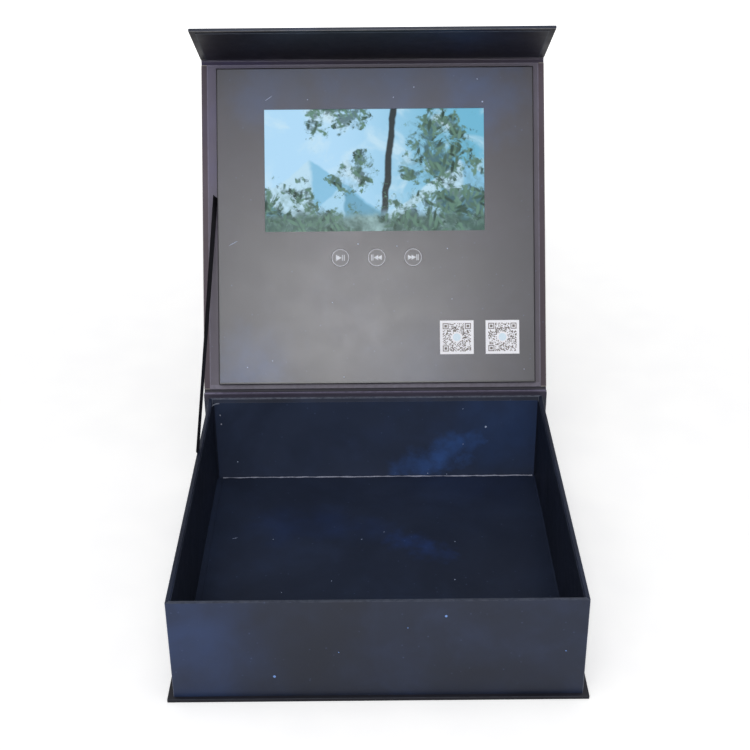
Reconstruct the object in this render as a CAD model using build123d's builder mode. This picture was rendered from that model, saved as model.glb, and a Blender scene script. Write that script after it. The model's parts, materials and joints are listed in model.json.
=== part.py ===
from build123d import *
from math import cos, radians, sin, tan
import os

# Book-style gift box with a video screen in its lid, stored open as photographed.
# X right, Y back, Z up, in mm. The origin is on the table, under the middle of the tray.

# ---- papers and boards ----
paper = 0.15            # printed paper that wraps every board
board = 2.0             # greyboard of the case and the tray
turn_in = 15.0          # wrap folded onto the inner side of a board
liner_margin = 4.0      # wrap that shows around the inner papers

# ---- case and tray ----
tray_width = 235.0
tray_depth = 235.0
tray_height = 66.5      # above the base
side_overhang = 3.5     # case beside the tray
front_overhang = 2.5    # base in front of the tray
rim_band = 3.0          # wrap folded down inside the rim
glue_line = 0.05
spine_above_rim = 2.2   # the spine is level with the outside of the shut lid
corner_gap = 0.2        # from the base board to the foot of the spine board

# ---- lid and its hinge ----
lid_open_angle = 117.34  # from shut, where the ribbon stay is taut
hinge_above_rim = 0.1
hinge_behind_tray = 1.15
lid_start = 5.4         # hinge line to the rear edge of the lid, past the paper groove
lid_face_back = 0.4     # inner face of the lid behind the hinge line
hinge_groove = 1.5      # how far the outer hinge paper hangs below its two ends
hinge_lap = 2.0         # inner hinge paper behind the tray, below the rim
hinge_land = 0.4        # hinge paper flush with each board before it bends
paper_gap = 0.1         # between the two papers of a groove

# ---- flap ----
flap_angle = 86.22      # from the plane of the lid
flap_tray_gap = 0.55    # inner face of the shut flap to the tray
flap_base_gap = 0.6     # edge of the shut flap to the base
crease_gap = 2.7        # crease to the board on either side
crease_groove = 1.5     # how deep the inner paper is pressed in behind the crease
crease_sharpness = 0.6  # how square the outer paper turns the front corner
magnet_diameter = 10.0
magnet_thickness = 1.0
magnet_pocket_gap = 0.1
magnet_spacing = 124.0
magnet_drop = 35.3      # crease to the middle of a magnet

# ---- screen panel on the lid ----
panel_left_gap = 5.45   # to the wall of the tray, with the lid shut
panel_right_gap = 2.65
panel_back_gap = 4.95
panel_front_gap = 3.65
face_board = 1.5
spacer_width = 10.0
port_from_hinge = 48.9
port_margin = 1.25      # beside the socket in its notch

# ---- screen ----
view_width = 154.2      # what the window shows
view_height = 85.9
view_middle_x = 0.7
module_side = 5.4       # module beside the picture
module_end = 7.05       # module above and below the picture
module_gap = 3.8        # button board to the module
module_thickness = 3.5
module_chin = 1.6       # how much nearer the hinge the module's middle is
gasket = 0.3
gasket_width = 4.0
frame_metal = 0.4
frame_gap = 0.15
glass_thickness = 1.2
glass_proud = 0.3       # glass above the rim of its frame

# ---- buttons ----
button_diameter = 12.6
button_gap = 0.2        # around a cap in its hole
button_spacing = 25.5
button_middle_x = 1.75
button_from_hinge = 96.9
button_flange_rim = 1.5
button_flange_thickness = 0.6
button_travel = 0.3
flange_gap = 0.05
switch_size = 6.0
switch_height = 2.2
stem_diameter = 3.2
stem_gap = 0.2
stem_depth = 1.2
stem_clearance = button_travel + 0.2    # under the stem in its switch

# ---- circuit boards and what is on them ----
circuit = 1.0
tape = 0.5
main_height = 46.0
main_side_gap = 1.4     # to the right spacer
main_reach = 4.75       # main board beside the end of the button board
main_above_port = 4.1   # from the port to the middle of the board
tab_gap = 0.3
socket_width = 7.5
socket_height = 2.6
socket_depth = 5.6
socket_wall = 0.25
socket_back = 1.0
tongue_width = 3.7
tongue_thickness = 0.6
socket_recess = 0.6
button_board_width = 68.0
button_board_height = 12.0
flex = 0.2
flex_width = 20.0
flex_from_side = 13.2   # side of the module to the middle of its cable
cable_width = 8.0

# ---- battery, speaker and leads ----
battery_width = 60.0
battery_height = 50.0
battery_thickness = 4.5
battery_room = 0.35     # under the face board
battery_side_gap = 4.6  # to the left spacer
battery_low_gap = 2.45  # to the bottom spacer
lead_diameter = 1.3
lead_sides = 8
lead_spacing = 2.4
lead_end_gap = 0.3
speaker_diameter = 28.0
speaker_room = 0.55     # under the face board
speaker_gap = 4.5       # battery to the speaker
speaker_shift = 5.0     # its middle left of the battery's

# ---- ribbon stay ----
ribbon_width = 6.0
ribbon_thickness = 0.3
ribbon_turn = 25.0      # from standing on edge
ribbon_wall_from_back = 75.0
ribbon_up_lid = 141.0   # hinge line to its end on the panel
ribbon_panel_gap = 1.6

# ---- places that follow from the sizes ----
base_top = paper + board + paper
rim = base_top + tray_height
tray_back = tray_depth / 2
wall = board + 2 * paper
spine_radius = wall
spine_foot = base_top + corner_gap
spine_top = rim + spine_above_rim
liner_foot = rim - hinge_lap
spine_in = tray_back + paper
spine_out = spine_in + board + paper
case_width = tray_width + 2 * side_overhang
case_side = case_width / 2 - paper
lid_fold = hinge_behind_tray + tray_depth + flap_tray_gap
hinge = Vector(0, tray_back + hinge_behind_tray, rim + hinge_above_rim)
rise = radians(180 - lid_open_angle)
along_lid = Vector(0, cos(rise), sin(rise))
out_of_lid = Vector(0, -sin(rise), cos(rise))
lid = Plane(origin=hinge, x_dir=(1, 0, 0), z_dir=out_of_lid)
lid_face = -lid_face_back
lid_inner = lid_face - 2 * paper
lid_outer = lid_inner - board
crease = hinge + along_lid * lid_fold + out_of_lid * lid_face
flap_length = tray_height + hinge_above_rim + lid_face_back - flap_base_gap
turn = radians(flap_angle)
along_flap = along_lid * cos(turn) + out_of_lid * sin(turn)
out_of_flap = out_of_lid * cos(turn) - along_lid * sin(turn)
flap = Plane(origin=crease, x_dir=(1, 0, 0), z_dir=out_of_flap)
flap_inner = -2 * paper
flap_outer = flap_inner - board
circuit_bottom = lid_face + tape
circuit_top = circuit_bottom + circuit
cavity_top = circuit_bottom + battery_thickness + battery_room
panel_board_top = cavity_top + face_board
panel_face = panel_board_top + paper
panel_width = tray_width - 2 * wall - panel_left_gap - panel_right_gap
panel_middle_x = (panel_left_gap - panel_right_gap) / 2
panel_start = hinge_behind_tray + wall + panel_back_gap
panel_length = tray_depth - 2 * wall - panel_back_gap - panel_front_gap
panel_middle = panel_start + panel_length / 2
panel_side = panel_width / 2 - paper
panel_end = panel_length / 2 - paper
module_top = cavity_top - gasket
module_bottom = module_top - module_thickness
module_width = view_width + 2 * module_side
module_height = view_height + 2 * module_end
module_middle = button_from_hinge + (button_board_height + module_height) / 2 + module_gap
view_middle = module_middle + module_chin
button_flange = button_diameter + 2 * button_flange_rim
port_notch = socket_width + 2 * port_margin
main_left = button_middle_x + button_board_width / 2 - main_reach
main_right = panel_middle_x + panel_side - spacer_width - main_side_gap
main_width = main_right - main_left
main_middle_x = (main_left + main_right) / 2
main_from_hinge = port_from_hinge + main_above_port
flex_x = view_middle_x + module_width / 2 - flex_from_side
battery_middle_x = panel_middle_x - panel_side + spacer_width + battery_side_gap + battery_width / 2
battery_from_hinge = panel_start + paper + spacer_width + battery_low_gap + battery_height / 2
speaker_middle_x = battery_middle_x - speaker_shift
speaker_from_hinge = battery_from_hinge + battery_height / 2 + speaker_gap + speaker_diameter / 2
speaker_thickness = battery_thickness + battery_room - speaker_room
button_places = [
    (button_middle_x + side * button_spacing, button_from_hinge) for side in (-1, 0, 1)
]

os.makedirs("parts", exist_ok=True)


def save(made, name):
    """Names a finished piece and writes its file."""
    made.part.label = name
    export_step(made.part, f"parts/{name}.step")


def slab(plane, width, length, bottom, top, middle=(0, 0), mode=Mode.ADD):
    """A flat block between two heights above a plane."""
    with BuildSketch(plane.offset(bottom)) as outline:
        with Locations(middle):
            Rectangle(width, length)
    extrude(outline.sketch, amount=top - bottom, mode=mode)


def ring(plane, outside, inside, bottom, top, middle=(0, 0)):
    """A rectangular ring between two heights above a plane."""
    slab(plane, *outside, bottom, top, middle)
    slab(plane, *inside, bottom, top, middle, Mode.SUBTRACT)


def folded_strip(plane, width, points, thickness, side_of_line=Side.RIGHT):
    """A thin paper strip on one side of a folded line, in the side view of a plane."""
    side = Plane(origin=plane.origin - plane.x_dir * width / 2, x_dir=plane.y_dir, z_dir=plane.x_dir)
    with BuildSketch(side) as outline:
        with BuildLine():
            fold = Polyline(*points)
            offset(fold, thickness, side=side_of_line, kind=Kind.INTERSECTION)
        make_face()
    extrude(outline.sketch, amount=width)


# ======================= base and spine =======================


def build_base():
    """The base board, the spine board behind the tray, and their paper."""
    front = -tray_depth / 2 - front_overhang
    depth = tray_back - front
    middle = (0, (tray_back + front) / 2)
    with BuildPart() as base_board:
        slab(
            Plane.XY, 2 * case_side, depth - paper, paper, paper + board,
            (0, middle[1] + paper / 2),
        )
    save(base_board, "base_board")

    with BuildPart() as base_wrap:
        slab(Plane.XY, case_width, depth, 0, base_top, middle)
        slab(
            Plane.XY, 2 * case_side, depth, paper, paper + board,
            (0, middle[1] + paper), Mode.SUBTRACT,
        )
        slab(
            Plane.XY, case_width - 2 * turn_in, depth, paper + board, base_top,
            (0, middle[1] + turn_in), Mode.SUBTRACT,
        )
    save(base_wrap, "base_wrap")

    with BuildPart() as spine_board:
        slab(
            Plane.XY, 2 * case_side, board, spine_foot, spine_top,
            (0, spine_in + board / 2),
        )
    save(spine_board, "spine_board")

    side = Plane(origin=(-case_width / 2, 0, 0), x_dir=(0, 1, 0), z_dir=(1, 0, 0))
    with BuildPart() as spine_wrap:
        with BuildSketch(side):
            with BuildLine() as outline:
                Polyline(
                    (tray_back, 0), (spine_out, 0), (spine_out, spine_top),
                    (spine_out - paper, spine_top), (spine_out - paper, paper), (tray_back, paper),
                    close=True,
                )
            make_face()
            outer_corner = vertices().filter_by_position(Axis.Y, -1, 0.01).sort_by(Axis.X)[-1]
            fillet(outer_corner, spine_radius)
            inner_side = spine_out - paper
            inner_corner = vertices().filter_by_position(Axis.X, inner_side - 0.01, inner_side + 0.01)
            fillet(inner_corner.sort_by(Axis.Y)[0], spine_radius - paper)
        extrude(amount=case_width)
        for end in (-1, 1):
            slab(
                Plane.XY, paper, spine_out - tray_back, spine_foot, spine_top,
                (end * (case_width - paper) / 2, (tray_back + spine_out) / 2),
            )
            strips = ((turn_in, spine_foot, liner_foot), (liner_margin, liner_foot, spine_top))
            for width, low, high in strips:
                slab(
                    Plane.XY, width, paper, low, high,
                    (end * (case_width - width) / 2, tray_back + paper / 2),
                )
    save(spine_wrap, "spine_wrap")


# ======================= tray =======================


def tray_wall(name, turned, width, depth, pocketed=False):
    """One mitred wall board of the tray, and in the front one the magnet pockets."""
    outer, inner = width / 2 - paper, width / 2 - paper - board
    place = Plane.XY.rotated((0, 0, turned))
    with BuildPart() as wall:
        with BuildSketch(place.offset(base_top)):
            with BuildLine():
                Polyline(
                    (-outer, -depth / 2 + paper), (outer, -depth / 2 + paper),
                    (inner, -depth / 2 + paper + board), (-inner, -depth / 2 + paper + board),
                    close=True,
                )
            make_face()
        extrude(amount=tray_height - paper)
        if pocketed:
            with BuildSketch(Plane.XZ.offset(depth / 2 - paper)):
                with Locations(*tray_magnet_places()):
                    Circle(magnet_diameter / 2 + magnet_pocket_gap)
            extrude(amount=-magnet_thickness - magnet_pocket_gap, mode=Mode.SUBTRACT)
    save(wall, name)


def tray_magnet_places():
    """Where the tray magnets sit on the front wall, level with those of the shut flap."""
    height = rim + hinge_above_rim + lid_face_back - magnet_drop
    return [(end * magnet_spacing / 2, height) for end in (-1, 1)]


def build_tray():
    """The open tray: floor and four walls of board, outer wrap, liner and magnets."""
    floor_size = (tray_width - 2 * (paper + board), tray_depth - 2 * (paper + board))
    floor_top = base_top + board
    with BuildPart() as tray_floor_board:
        slab(Plane.XY, *floor_size, base_top, floor_top)
    save(tray_floor_board, "tray_floor_board")

    tray_wall("tray_front_board", 0, tray_width, tray_depth, pocketed=True)
    tray_wall("tray_right_board", 90, tray_depth, tray_width)
    tray_wall("tray_back_board", 180, tray_width, tray_depth)
    tray_wall("tray_left_board", 270, tray_depth, tray_width)

    wrap_in = (tray_width - 2 * paper, tray_depth - 2 * paper)
    mouth = (floor_size[0] - 2 * paper, floor_size[1] - 2 * paper)
    with BuildPart() as tray_wrap:
        ring(Plane.XY, (tray_width, tray_depth), wrap_in, base_top, rim)
        ring(Plane.XY, wrap_in, mouth, rim - paper, rim)
        ring(Plane.XY, floor_size, mouth, rim - paper - rim_band, rim - paper)
    save(tray_wrap, "tray_wrap")

    with BuildPart() as tray_liner:
        slab(Plane.XY, *floor_size, floor_top, rim - paper - rim_band)
        slab(Plane.XY, *mouth, floor_top + paper, rim, mode=Mode.SUBTRACT)
    save(tray_liner, "tray_liner")

    with BuildPart() as tray_magnets:
        with BuildSketch(Plane.XZ.offset(tray_depth / 2 - paper - glue_line)):
            with Locations(*tray_magnet_places()):
                Circle(magnet_diameter / 2)
        extrude(amount=-magnet_thickness)
    save(tray_magnets, "tray_magnets")


# ======================= lid =======================


def build_lid():
    """The lid board with its outer wrap and inner paper."""
    end = lid_fold - crease_gap
    with BuildPart() as lid_board:
        slab(
            lid, 2 * case_side, end - lid_start, lid_outer, lid_inner,
            (0, (lid_start + end) / 2),
        )
    save(lid_board, "lid_board")

    with BuildPart() as lid_wrap:
        side_wrap(lid, lid_start, end, lid_inner, lid_outer)
    save(lid_wrap, "lid_wrap")

    with BuildPart() as lid_liner:
        side_liner(lid, lid_start, end, lid_inner)
    save(lid_liner, "lid_liner")


def side_wrap(plane, start, end, inner, outer):
    """Paper over the outer side of a board and around its left and right edges."""
    length, middle = end - start, (0, (start + end) / 2)
    slab(plane, case_width, length, outer - paper, inner + paper, middle)
    slab(plane, 2 * case_side, length, outer, inner, middle, Mode.SUBTRACT)
    slab(plane, case_width - 2 * turn_in, length, inner, inner + paper, middle, Mode.SUBTRACT)


def side_liner(plane, start, end, inner):
    """Inner paper that laps over the turned-in strips at the left and right."""
    length, middle = end - start, (0, (start + end) / 2)
    slab(plane, case_width - 2 * liner_margin, length, inner + paper, inner + 2 * paper, middle)
    slab(plane, case_width - 2 * turn_in, length, inner, inner + paper, middle)


def build_hinge_papers():
    """The two papers that join the spine and the lid, hanging in a groove with the lid open."""
    low = Vector(0, spine_out, spine_top)
    high = hinge + along_lid * lid_start + out_of_lid * (lid_outer - paper)
    across = (high - low).normalized()
    down = Vector(0, across.Z, -across.Y)
    bottom = (low + high) * 0.5 + down * hinge_groove
    back = Vector(0, hinge_land, 0)
    outer_line = (low - back, low, bottom, high - along_lid * hinge_land, high)
    with BuildPart() as lid_hinge_paper:
        folded_strip(Plane.XY, case_width, [(p.Y, p.Z) for p in outer_line], paper, Side.LEFT)
    save(lid_hinge_paper, "lid_hinge_paper")

    lift = paper + paper_gap
    face = hinge + along_lid * lid_start + out_of_lid * lid_face
    inner_line = (
        Vector(0, tray_back, liner_foot), Vector(0, tray_back, spine_top + paper),
        low - back * 2 + Vector(0, 0, paper), low - back + Vector(0, 0, paper + lift),
        low + Vector(0, 0, paper + lift), bottom - down * 4 * paper,
        face - along_lid * hinge_land, face,
    )
    with BuildPart() as lid_hinge_liner:
        folded_strip(
            Plane.XY, case_width - 2 * liner_margin, [(p.Y, p.Z) for p in inner_line], paper,
        )
    save(lid_hinge_liner, "lid_hinge_liner")


# ======================= screen panel =======================


def build_panel_shell():
    """The raised panel: four spacer bars, the cut face board and its printed paper."""
    bar_middle = panel_end - spacer_width / 2
    for name, way in (("panel_top_spacer", 1), ("panel_bottom_spacer", -1)):
        with BuildPart() as bar:
            slab(
                lid, 2 * panel_side, spacer_width, lid_face, cavity_top,
                (panel_middle_x, panel_middle + way * bar_middle),
            )
        save(bar, name)
    side_length = 2 * (panel_end - spacer_width)
    side_middle = panel_side - spacer_width / 2
    for name, way in (("panel_left_spacer", -1), ("panel_right_spacer", 1)):
        with BuildPart() as bar:
            slab(
                lid, spacer_width, side_length, lid_face, cavity_top,
                (panel_middle_x + way * side_middle, panel_middle),
            )
            if way > 0:
                slab(
                    lid, spacer_width, port_notch, lid_face, cavity_top,
                    (panel_middle_x + side_middle, port_from_hinge), Mode.SUBTRACT,
                )
        save(bar, name)

    with BuildPart() as panel_face_board:
        slab(
            lid, 2 * panel_side, 2 * panel_end, cavity_top, panel_board_top,
            (panel_middle_x, panel_middle),
        )
        face_holes(cavity_top, panel_board_top)
    save(panel_face_board, "panel_face_board")

    with BuildPart() as panel_face_wrap:
        slab(
            lid, panel_width, panel_length, lid_face, panel_face,
            (panel_middle_x, panel_middle),
        )
        slab(
            lid, 2 * panel_side, 2 * panel_end, lid_face, panel_board_top,
            (panel_middle_x, panel_middle), Mode.SUBTRACT,
        )
        face_holes(panel_board_top, panel_face)
        slab(
            lid, spacer_width, port_notch, lid_face, cavity_top,
            (panel_middle_x + panel_width / 2, port_from_hinge), Mode.SUBTRACT,
        )
    save(panel_face_wrap, "panel_face_wrap")


def face_holes(bottom, top):
    """The screen window and the three button holes, through one layer of the face."""
    slab(lid, view_width, view_height, bottom, top, (view_middle_x, view_middle), Mode.SUBTRACT)
    with BuildSketch(lid.offset(bottom)) as holes:
        with Locations(*button_places):
            Circle(button_diameter / 2 + button_gap)
    extrude(holes.sketch, amount=top - bottom, mode=Mode.SUBTRACT)


def build_screen():
    """The display module behind the window: metal frame, backlight, glass and gasket."""
    place = (view_middle_x, module_middle)
    frame_top = module_top - glass_proud
    with BuildPart() as screen_frame:
        slab(lid, module_width, module_height, module_bottom, frame_top, place)
        upright = edges().filter_by(Axis(lid.origin, lid.z_dir))
        fillet(upright, 1.0)
        slab(
            lid, module_width - 2 * frame_metal, module_height - 2 * frame_metal,
            module_bottom + frame_metal, frame_top, place, Mode.SUBTRACT,
        )
    save(screen_frame, "screen_frame")

    inside = (module_width - 2 * (frame_metal + frame_gap), module_height - 2 * (frame_metal + frame_gap))
    glass_bottom = module_top - glass_thickness
    with BuildPart() as screen_backlight:
        slab(lid, *inside, module_bottom + frame_metal, glass_bottom, place)
    save(screen_backlight, "screen_backlight")

    with BuildPart() as screen_glass:
        slab(lid, *inside, glass_bottom, module_top, place)
    save(screen_glass, "screen_glass")

    with BuildPart() as screen_gasket:
        ring(
            lid, (view_width + 2 * gasket_width, view_height + 2 * gasket_width),
            (view_width + gasket_width / 2, view_height + gasket_width / 2),
            module_top, cavity_top, (view_middle_x, view_middle),
        )
    save(screen_gasket, "screen_gasket")


def build_buttons():
    """Three caps in their holes, each on the stem of a small switch."""
    cap_bottom = cavity_top - flange_gap - button_flange_thickness
    for name, place in zip(("play", "previous", "next"), button_places):
        with BuildPart() as cap:
            with BuildSketch(lid.offset(cap_bottom)):
                with Locations(place):
                    Circle(button_flange / 2)
            extrude(amount=button_flange_thickness)
            with BuildSketch(lid.offset(cap_bottom + button_flange_thickness)):
                with Locations(place):
                    Circle(button_diameter / 2)
            extrude(amount=panel_face - cap_bottom - button_flange_thickness)
            top = faces().sort_by(Axis(lid.origin, lid.z_dir))[-1]
            chamfer(top.edges(), paper)
        save(cap, f"{name}_button")
        with BuildPart() as stem:
            with BuildSketch(lid.offset(circuit_top + switch_height - stem_depth)):
                with Locations(place):
                    Circle(stem_diameter / 2)
            extrude(amount=cap_bottom - circuit_top - switch_height + stem_depth)
        save(stem, f"{name}_switch_stem")

    with BuildPart() as switch_housings:
        with BuildSketch(lid.offset(circuit_top)):
            with Locations(*button_places):
                Rectangle(switch_size, switch_size)
        extrude(amount=switch_height)
        with BuildSketch(lid.offset(circuit_top + switch_height)):
            with Locations(*button_places):
                Circle(stem_diameter / 2 + stem_gap)
        extrude(amount=-stem_depth - stem_clearance, mode=Mode.SUBTRACT)
    save(switch_housings, "switch_housings")

    with BuildPart() as button_board:
        slab(
            lid, button_board_width, button_board_height, circuit_bottom, circuit_top,
            (button_middle_x, button_from_hinge),
        )
    save(button_board, "button_board")


# ======================= electronics =======================


def build_main_board():
    """The circuit board with its chips, connectors and the charging socket."""
    tab_end = panel_middle_x + panel_width / 2 - socket_recess
    board_end = main_middle_x + main_width / 2
    with BuildPart() as main_board:
        slab(lid, main_width, main_height, circuit_bottom, circuit_top, (main_middle_x, main_from_hinge))
        slab(
            lid, tab_end - board_end, port_notch - 2 * tab_gap, circuit_bottom, circuit_top,
            ((tab_end + board_end) / 2, port_from_hinge),
        )
    save(main_board, "main_board")

    for name, size, place in (
        ("processor_chip", (14.0, 14.0, 1.2), (-8.0, 2.0)),
        ("memory_chip", (18.0, 12.0, 1.1), (-8.0, -14.0)),
        ("power_coil", (6.0, 6.0, 2.8), (24.0, -16.0)),
        ("screen_connector", (flex_width + 3, 5.0, 1.6), (flex_x - main_middle_x, 18.0)),
        ("battery_socket", (7.0, 8.0, 3.0), (-30.0, -12.0)),
    ):
        with BuildPart() as chip:
            slab(
                lid, size[0], size[1], circuit_top, circuit_top + size[2],
                (main_middle_x + place[0], main_from_hinge + place[1]),
            )
            upper = faces().sort_by(Axis(lid.origin, lid.z_dir))[-1]
            chamfer(upper.edges(), 0.2)
        save(chip, name)

    with BuildPart() as small_parts:
        with BuildSketch(lid.offset(circuit_top)):
            with Locations((main_middle_x + 11, main_from_hinge + 4)):
                with GridLocations(3.2, 3.4, 4, 3):
                    Rectangle(1.6, 0.8)
            with Locations((main_middle_x + 24, main_from_hinge - 5)):
                with GridLocations(4.0, 3.0, 2, 2):
                    Rectangle(2.0, 1.25)
            with Locations((main_middle_x + 14, main_from_hinge - 12)):
                Rectangle(5.0, 5.0)
        extrude(amount=0.7)
    save(small_parts, "small_parts")
    build_socket(tab_end)


def build_socket(mouth):
    """The micro socket that charges the battery, with its mouth in the panel's side."""
    side = Plane(
        origin=lid.from_local_coords(Vector(mouth - socket_depth, port_from_hinge, circuit_top)),
        x_dir=lid.y_dir, z_dir=lid.x_dir,
    )
    half, slope = socket_width / 2, 1.0
    outline = [
        (-half + slope, 0), (half - slope, 0), (half, slope),
        (half, socket_height), (-half, socket_height), (-half, slope),
    ]
    with BuildPart() as usb_socket:
        with BuildSketch(side) as shell:
            with BuildLine():
                Polyline(*outline, close=True)
            make_face()
        extrude(amount=socket_depth)
        with BuildSketch(side.offset(socket_back)):
            add(shell.sketch_local)
            offset(amount=-socket_wall, mode=Mode.REPLACE)
        extrude(amount=socket_depth, mode=Mode.SUBTRACT)
    save(usb_socket, "usb_socket")

    with BuildPart() as usb_tongue:
        with BuildSketch(side.offset(socket_back)):
            with Locations((0, socket_height / 2 + 0.3)):
                Rectangle(tongue_width, tongue_thickness)
        extrude(amount=socket_depth - socket_back - socket_recess)
    save(usb_tongue, "usb_tongue")


def build_battery():
    """The flat battery pouch, its two leads, the speaker and its leads."""
    bottom = circuit_bottom
    with BuildPart() as battery:
        slab(
            lid, battery_width, battery_height, bottom, bottom + battery_thickness,
            (battery_middle_x, battery_from_hinge),
        )
        fillet(edges().filter_by(Axis(lid.origin, lid.z_dir)), 2.0)
        upper = faces().sort_by(Axis(lid.origin, lid.z_dir))[-1]
        fillet(upper.edges(), 1.0)
    save(battery, "battery")

    start = battery_middle_x + battery_width / 2
    end = main_middle_x - 30.0 - 7.0 / 2
    height = circuit_top + 1.2
    for name, way in (("battery_lead_red", 1), ("battery_lead_black", -1)):
        first = battery_from_hinge + way * lead_spacing / 2
        last = main_from_hinge - 12.0 + way * lead_spacing / 2
        with BuildPart() as battery_lead:
            add(lead([(start, first), (start + 22, first), (end - 22, last), (end, last)], height))
        save(battery_lead, name)

    with BuildPart() as speaker:
        with BuildSketch(lid.offset(bottom)):
            with Locations((speaker_middle_x, speaker_from_hinge)):
                Circle(speaker_diameter / 2)
        extrude(amount=speaker_thickness / 2)
        with BuildSketch(lid.offset(bottom + speaker_thickness / 2)):
            with Locations((speaker_middle_x, speaker_from_hinge)):
                Circle(speaker_diameter / 3)
        extrude(amount=speaker_thickness / 2)
    save(speaker, "speaker")

    leave = speaker_middle_x + speaker_diameter / 2 + glue_line
    reach = main_middle_x - main_width / 2 - lead_end_gap
    with BuildPart() as speaker_leads:
        for shift in (0.0, lead_spacing):
            start_y = speaker_from_hinge - 1.0 - shift
            low = speaker_from_hinge - 10.5 - shift
            add(lead(
                [(leave, start_y), (leave + 18, start_y - 1.0), (leave + 44, low), (reach - 24, low),
                 (reach, low - 8.0)],
                circuit_bottom + 1.0,
            ))
    save(speaker_leads, "speaker_leads")


def lead(points, height):
    """An insulated lead: straight runs joined by arcs as large as the runs allow."""
    path = [lid.from_local_coords(Vector(x, y, height)) for x, y in points]
    radii = []
    for before, here, after in zip(path, path[1:], path[2:]):
        half_turn = radians((here - before).get_angle(after - here)) / 2
        radii.append(0.45 * min((here - before).length, (after - here).length) / tan(half_turn))
    with BuildPart(mode=Mode.PRIVATE) as made:
        with BuildLine() as route:
            FilletPolyline(*path, radius=radii)
        with BuildSketch(Plane(origin=route.line @ 0, z_dir=route.line % 0)):
            RegularPolygon(lead_diameter / 2, lead_sides)
        sweep()
    return made.part


def build_flat_cables():
    """The flat cable of the screen, the one of the buttons, and the mounting tapes."""
    module_edge = module_middle - module_height / 2
    plug = main_from_hinge + 18.0 + 2.5
    with BuildPart() as screen_flex:
        folded_strip(
            Plane(origin=lid.from_local_coords(Vector(flex_x, 0, 0)), x_dir=(1, 0, 0), z_dir=lid.z_dir),
            flex_width,
            [(plug, circuit_top + 0.8), (plug + 6, circuit_top + 0.8), (module_edge - 6, module_bottom + 1.0),
             (module_edge, module_bottom + 1.0)],
            flex,
        )
    save(screen_flex, "screen_flex")

    low = main_from_hinge + main_height / 2
    high = button_from_hinge - button_board_height / 2
    with BuildPart() as button_cable:
        slab(
            lid, cable_width, high - low + 4, circuit_top, circuit_top + flex,
            (main_middle_x - main_width / 2 + cable_width / 2 - 2.0, (low + high) / 2),
        )
    save(button_cable, "button_cable")

    with BuildPart() as mounting_tapes:
        for way in (-1, 1):
            slab(
                lid, 12, 80, lid_face, module_bottom,
                (view_middle_x + way * module_width / 3, module_middle),
            )
            slab(
                lid, 10, 30, lid_face, circuit_bottom,
                (main_middle_x + way * main_width / 3, main_from_hinge),
            )
            slab(
                lid, 12, 8, lid_face, circuit_bottom,
                (button_middle_x + way * button_board_width / 3, button_from_hinge),
            )
        slab(
            lid, battery_width - 10, battery_height - 10, lid_face, circuit_bottom,
            (battery_middle_x, battery_from_hinge),
        )
        slab(lid, 16, 16, lid_face, circuit_bottom, (speaker_middle_x, speaker_from_hinge))
    save(mounting_tapes, "mounting_tapes")


# ======================= flap =======================


def build_flap():
    """The magnetic flap: board with two pocketed magnets, wrap and inner paper."""
    tip = flap_length
    board_end = tip - paper
    length, middle = board_end - crease_gap, (0, (crease_gap + board_end) / 2)
    magnets = [(end * magnet_spacing / 2, magnet_drop) for end in (-1, 1)]
    with BuildPart() as flap_board:
        slab(flap, 2 * case_side, length, flap_outer, flap_inner, middle)
        with BuildSketch(flap.offset(flap_inner)):
            with Locations(*magnets):
                Circle(magnet_diameter / 2 + magnet_pocket_gap)
        extrude(amount=-magnet_thickness - magnet_pocket_gap, mode=Mode.SUBTRACT)
    save(flap_board, "flap_board")

    with BuildPart() as flap_magnets:
        with BuildSketch(flap.offset(flap_inner - glue_line)):
            with Locations(*magnets):
                Circle(magnet_diameter / 2)
        extrude(amount=-magnet_thickness)
    save(flap_magnets, "flap_magnets")

    with BuildPart() as flap_wrap:
        slab(
            flap, case_width, tip - crease_gap, flap_outer - paper, flap_inner + paper,
            (0, (crease_gap + tip) / 2),
        )
        slab(flap, 2 * case_side, length, flap_outer, flap_inner, middle, Mode.SUBTRACT)
        slab(
            flap, case_width - 2 * turn_in, tip - turn_in - crease_gap, flap_inner, flap_inner + paper,
            (0, (crease_gap + tip - turn_in) / 2), Mode.SUBTRACT,
        )
    save(flap_wrap, "flap_wrap")

    with BuildPart() as flap_liner:
        slab(
            flap, case_width - 2 * liner_margin, tip - liner_margin - crease_gap,
            flap_inner + paper, flap_inner + 2 * paper, (0, (crease_gap + tip - liner_margin) / 2),
        )
        slab(
            flap, case_width - 2 * turn_in, tip - turn_in - crease_gap,
            flap_inner, flap_inner + paper, (0, (crease_gap + tip - turn_in) / 2),
        )
    save(flap_liner, "flap_liner")


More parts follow.
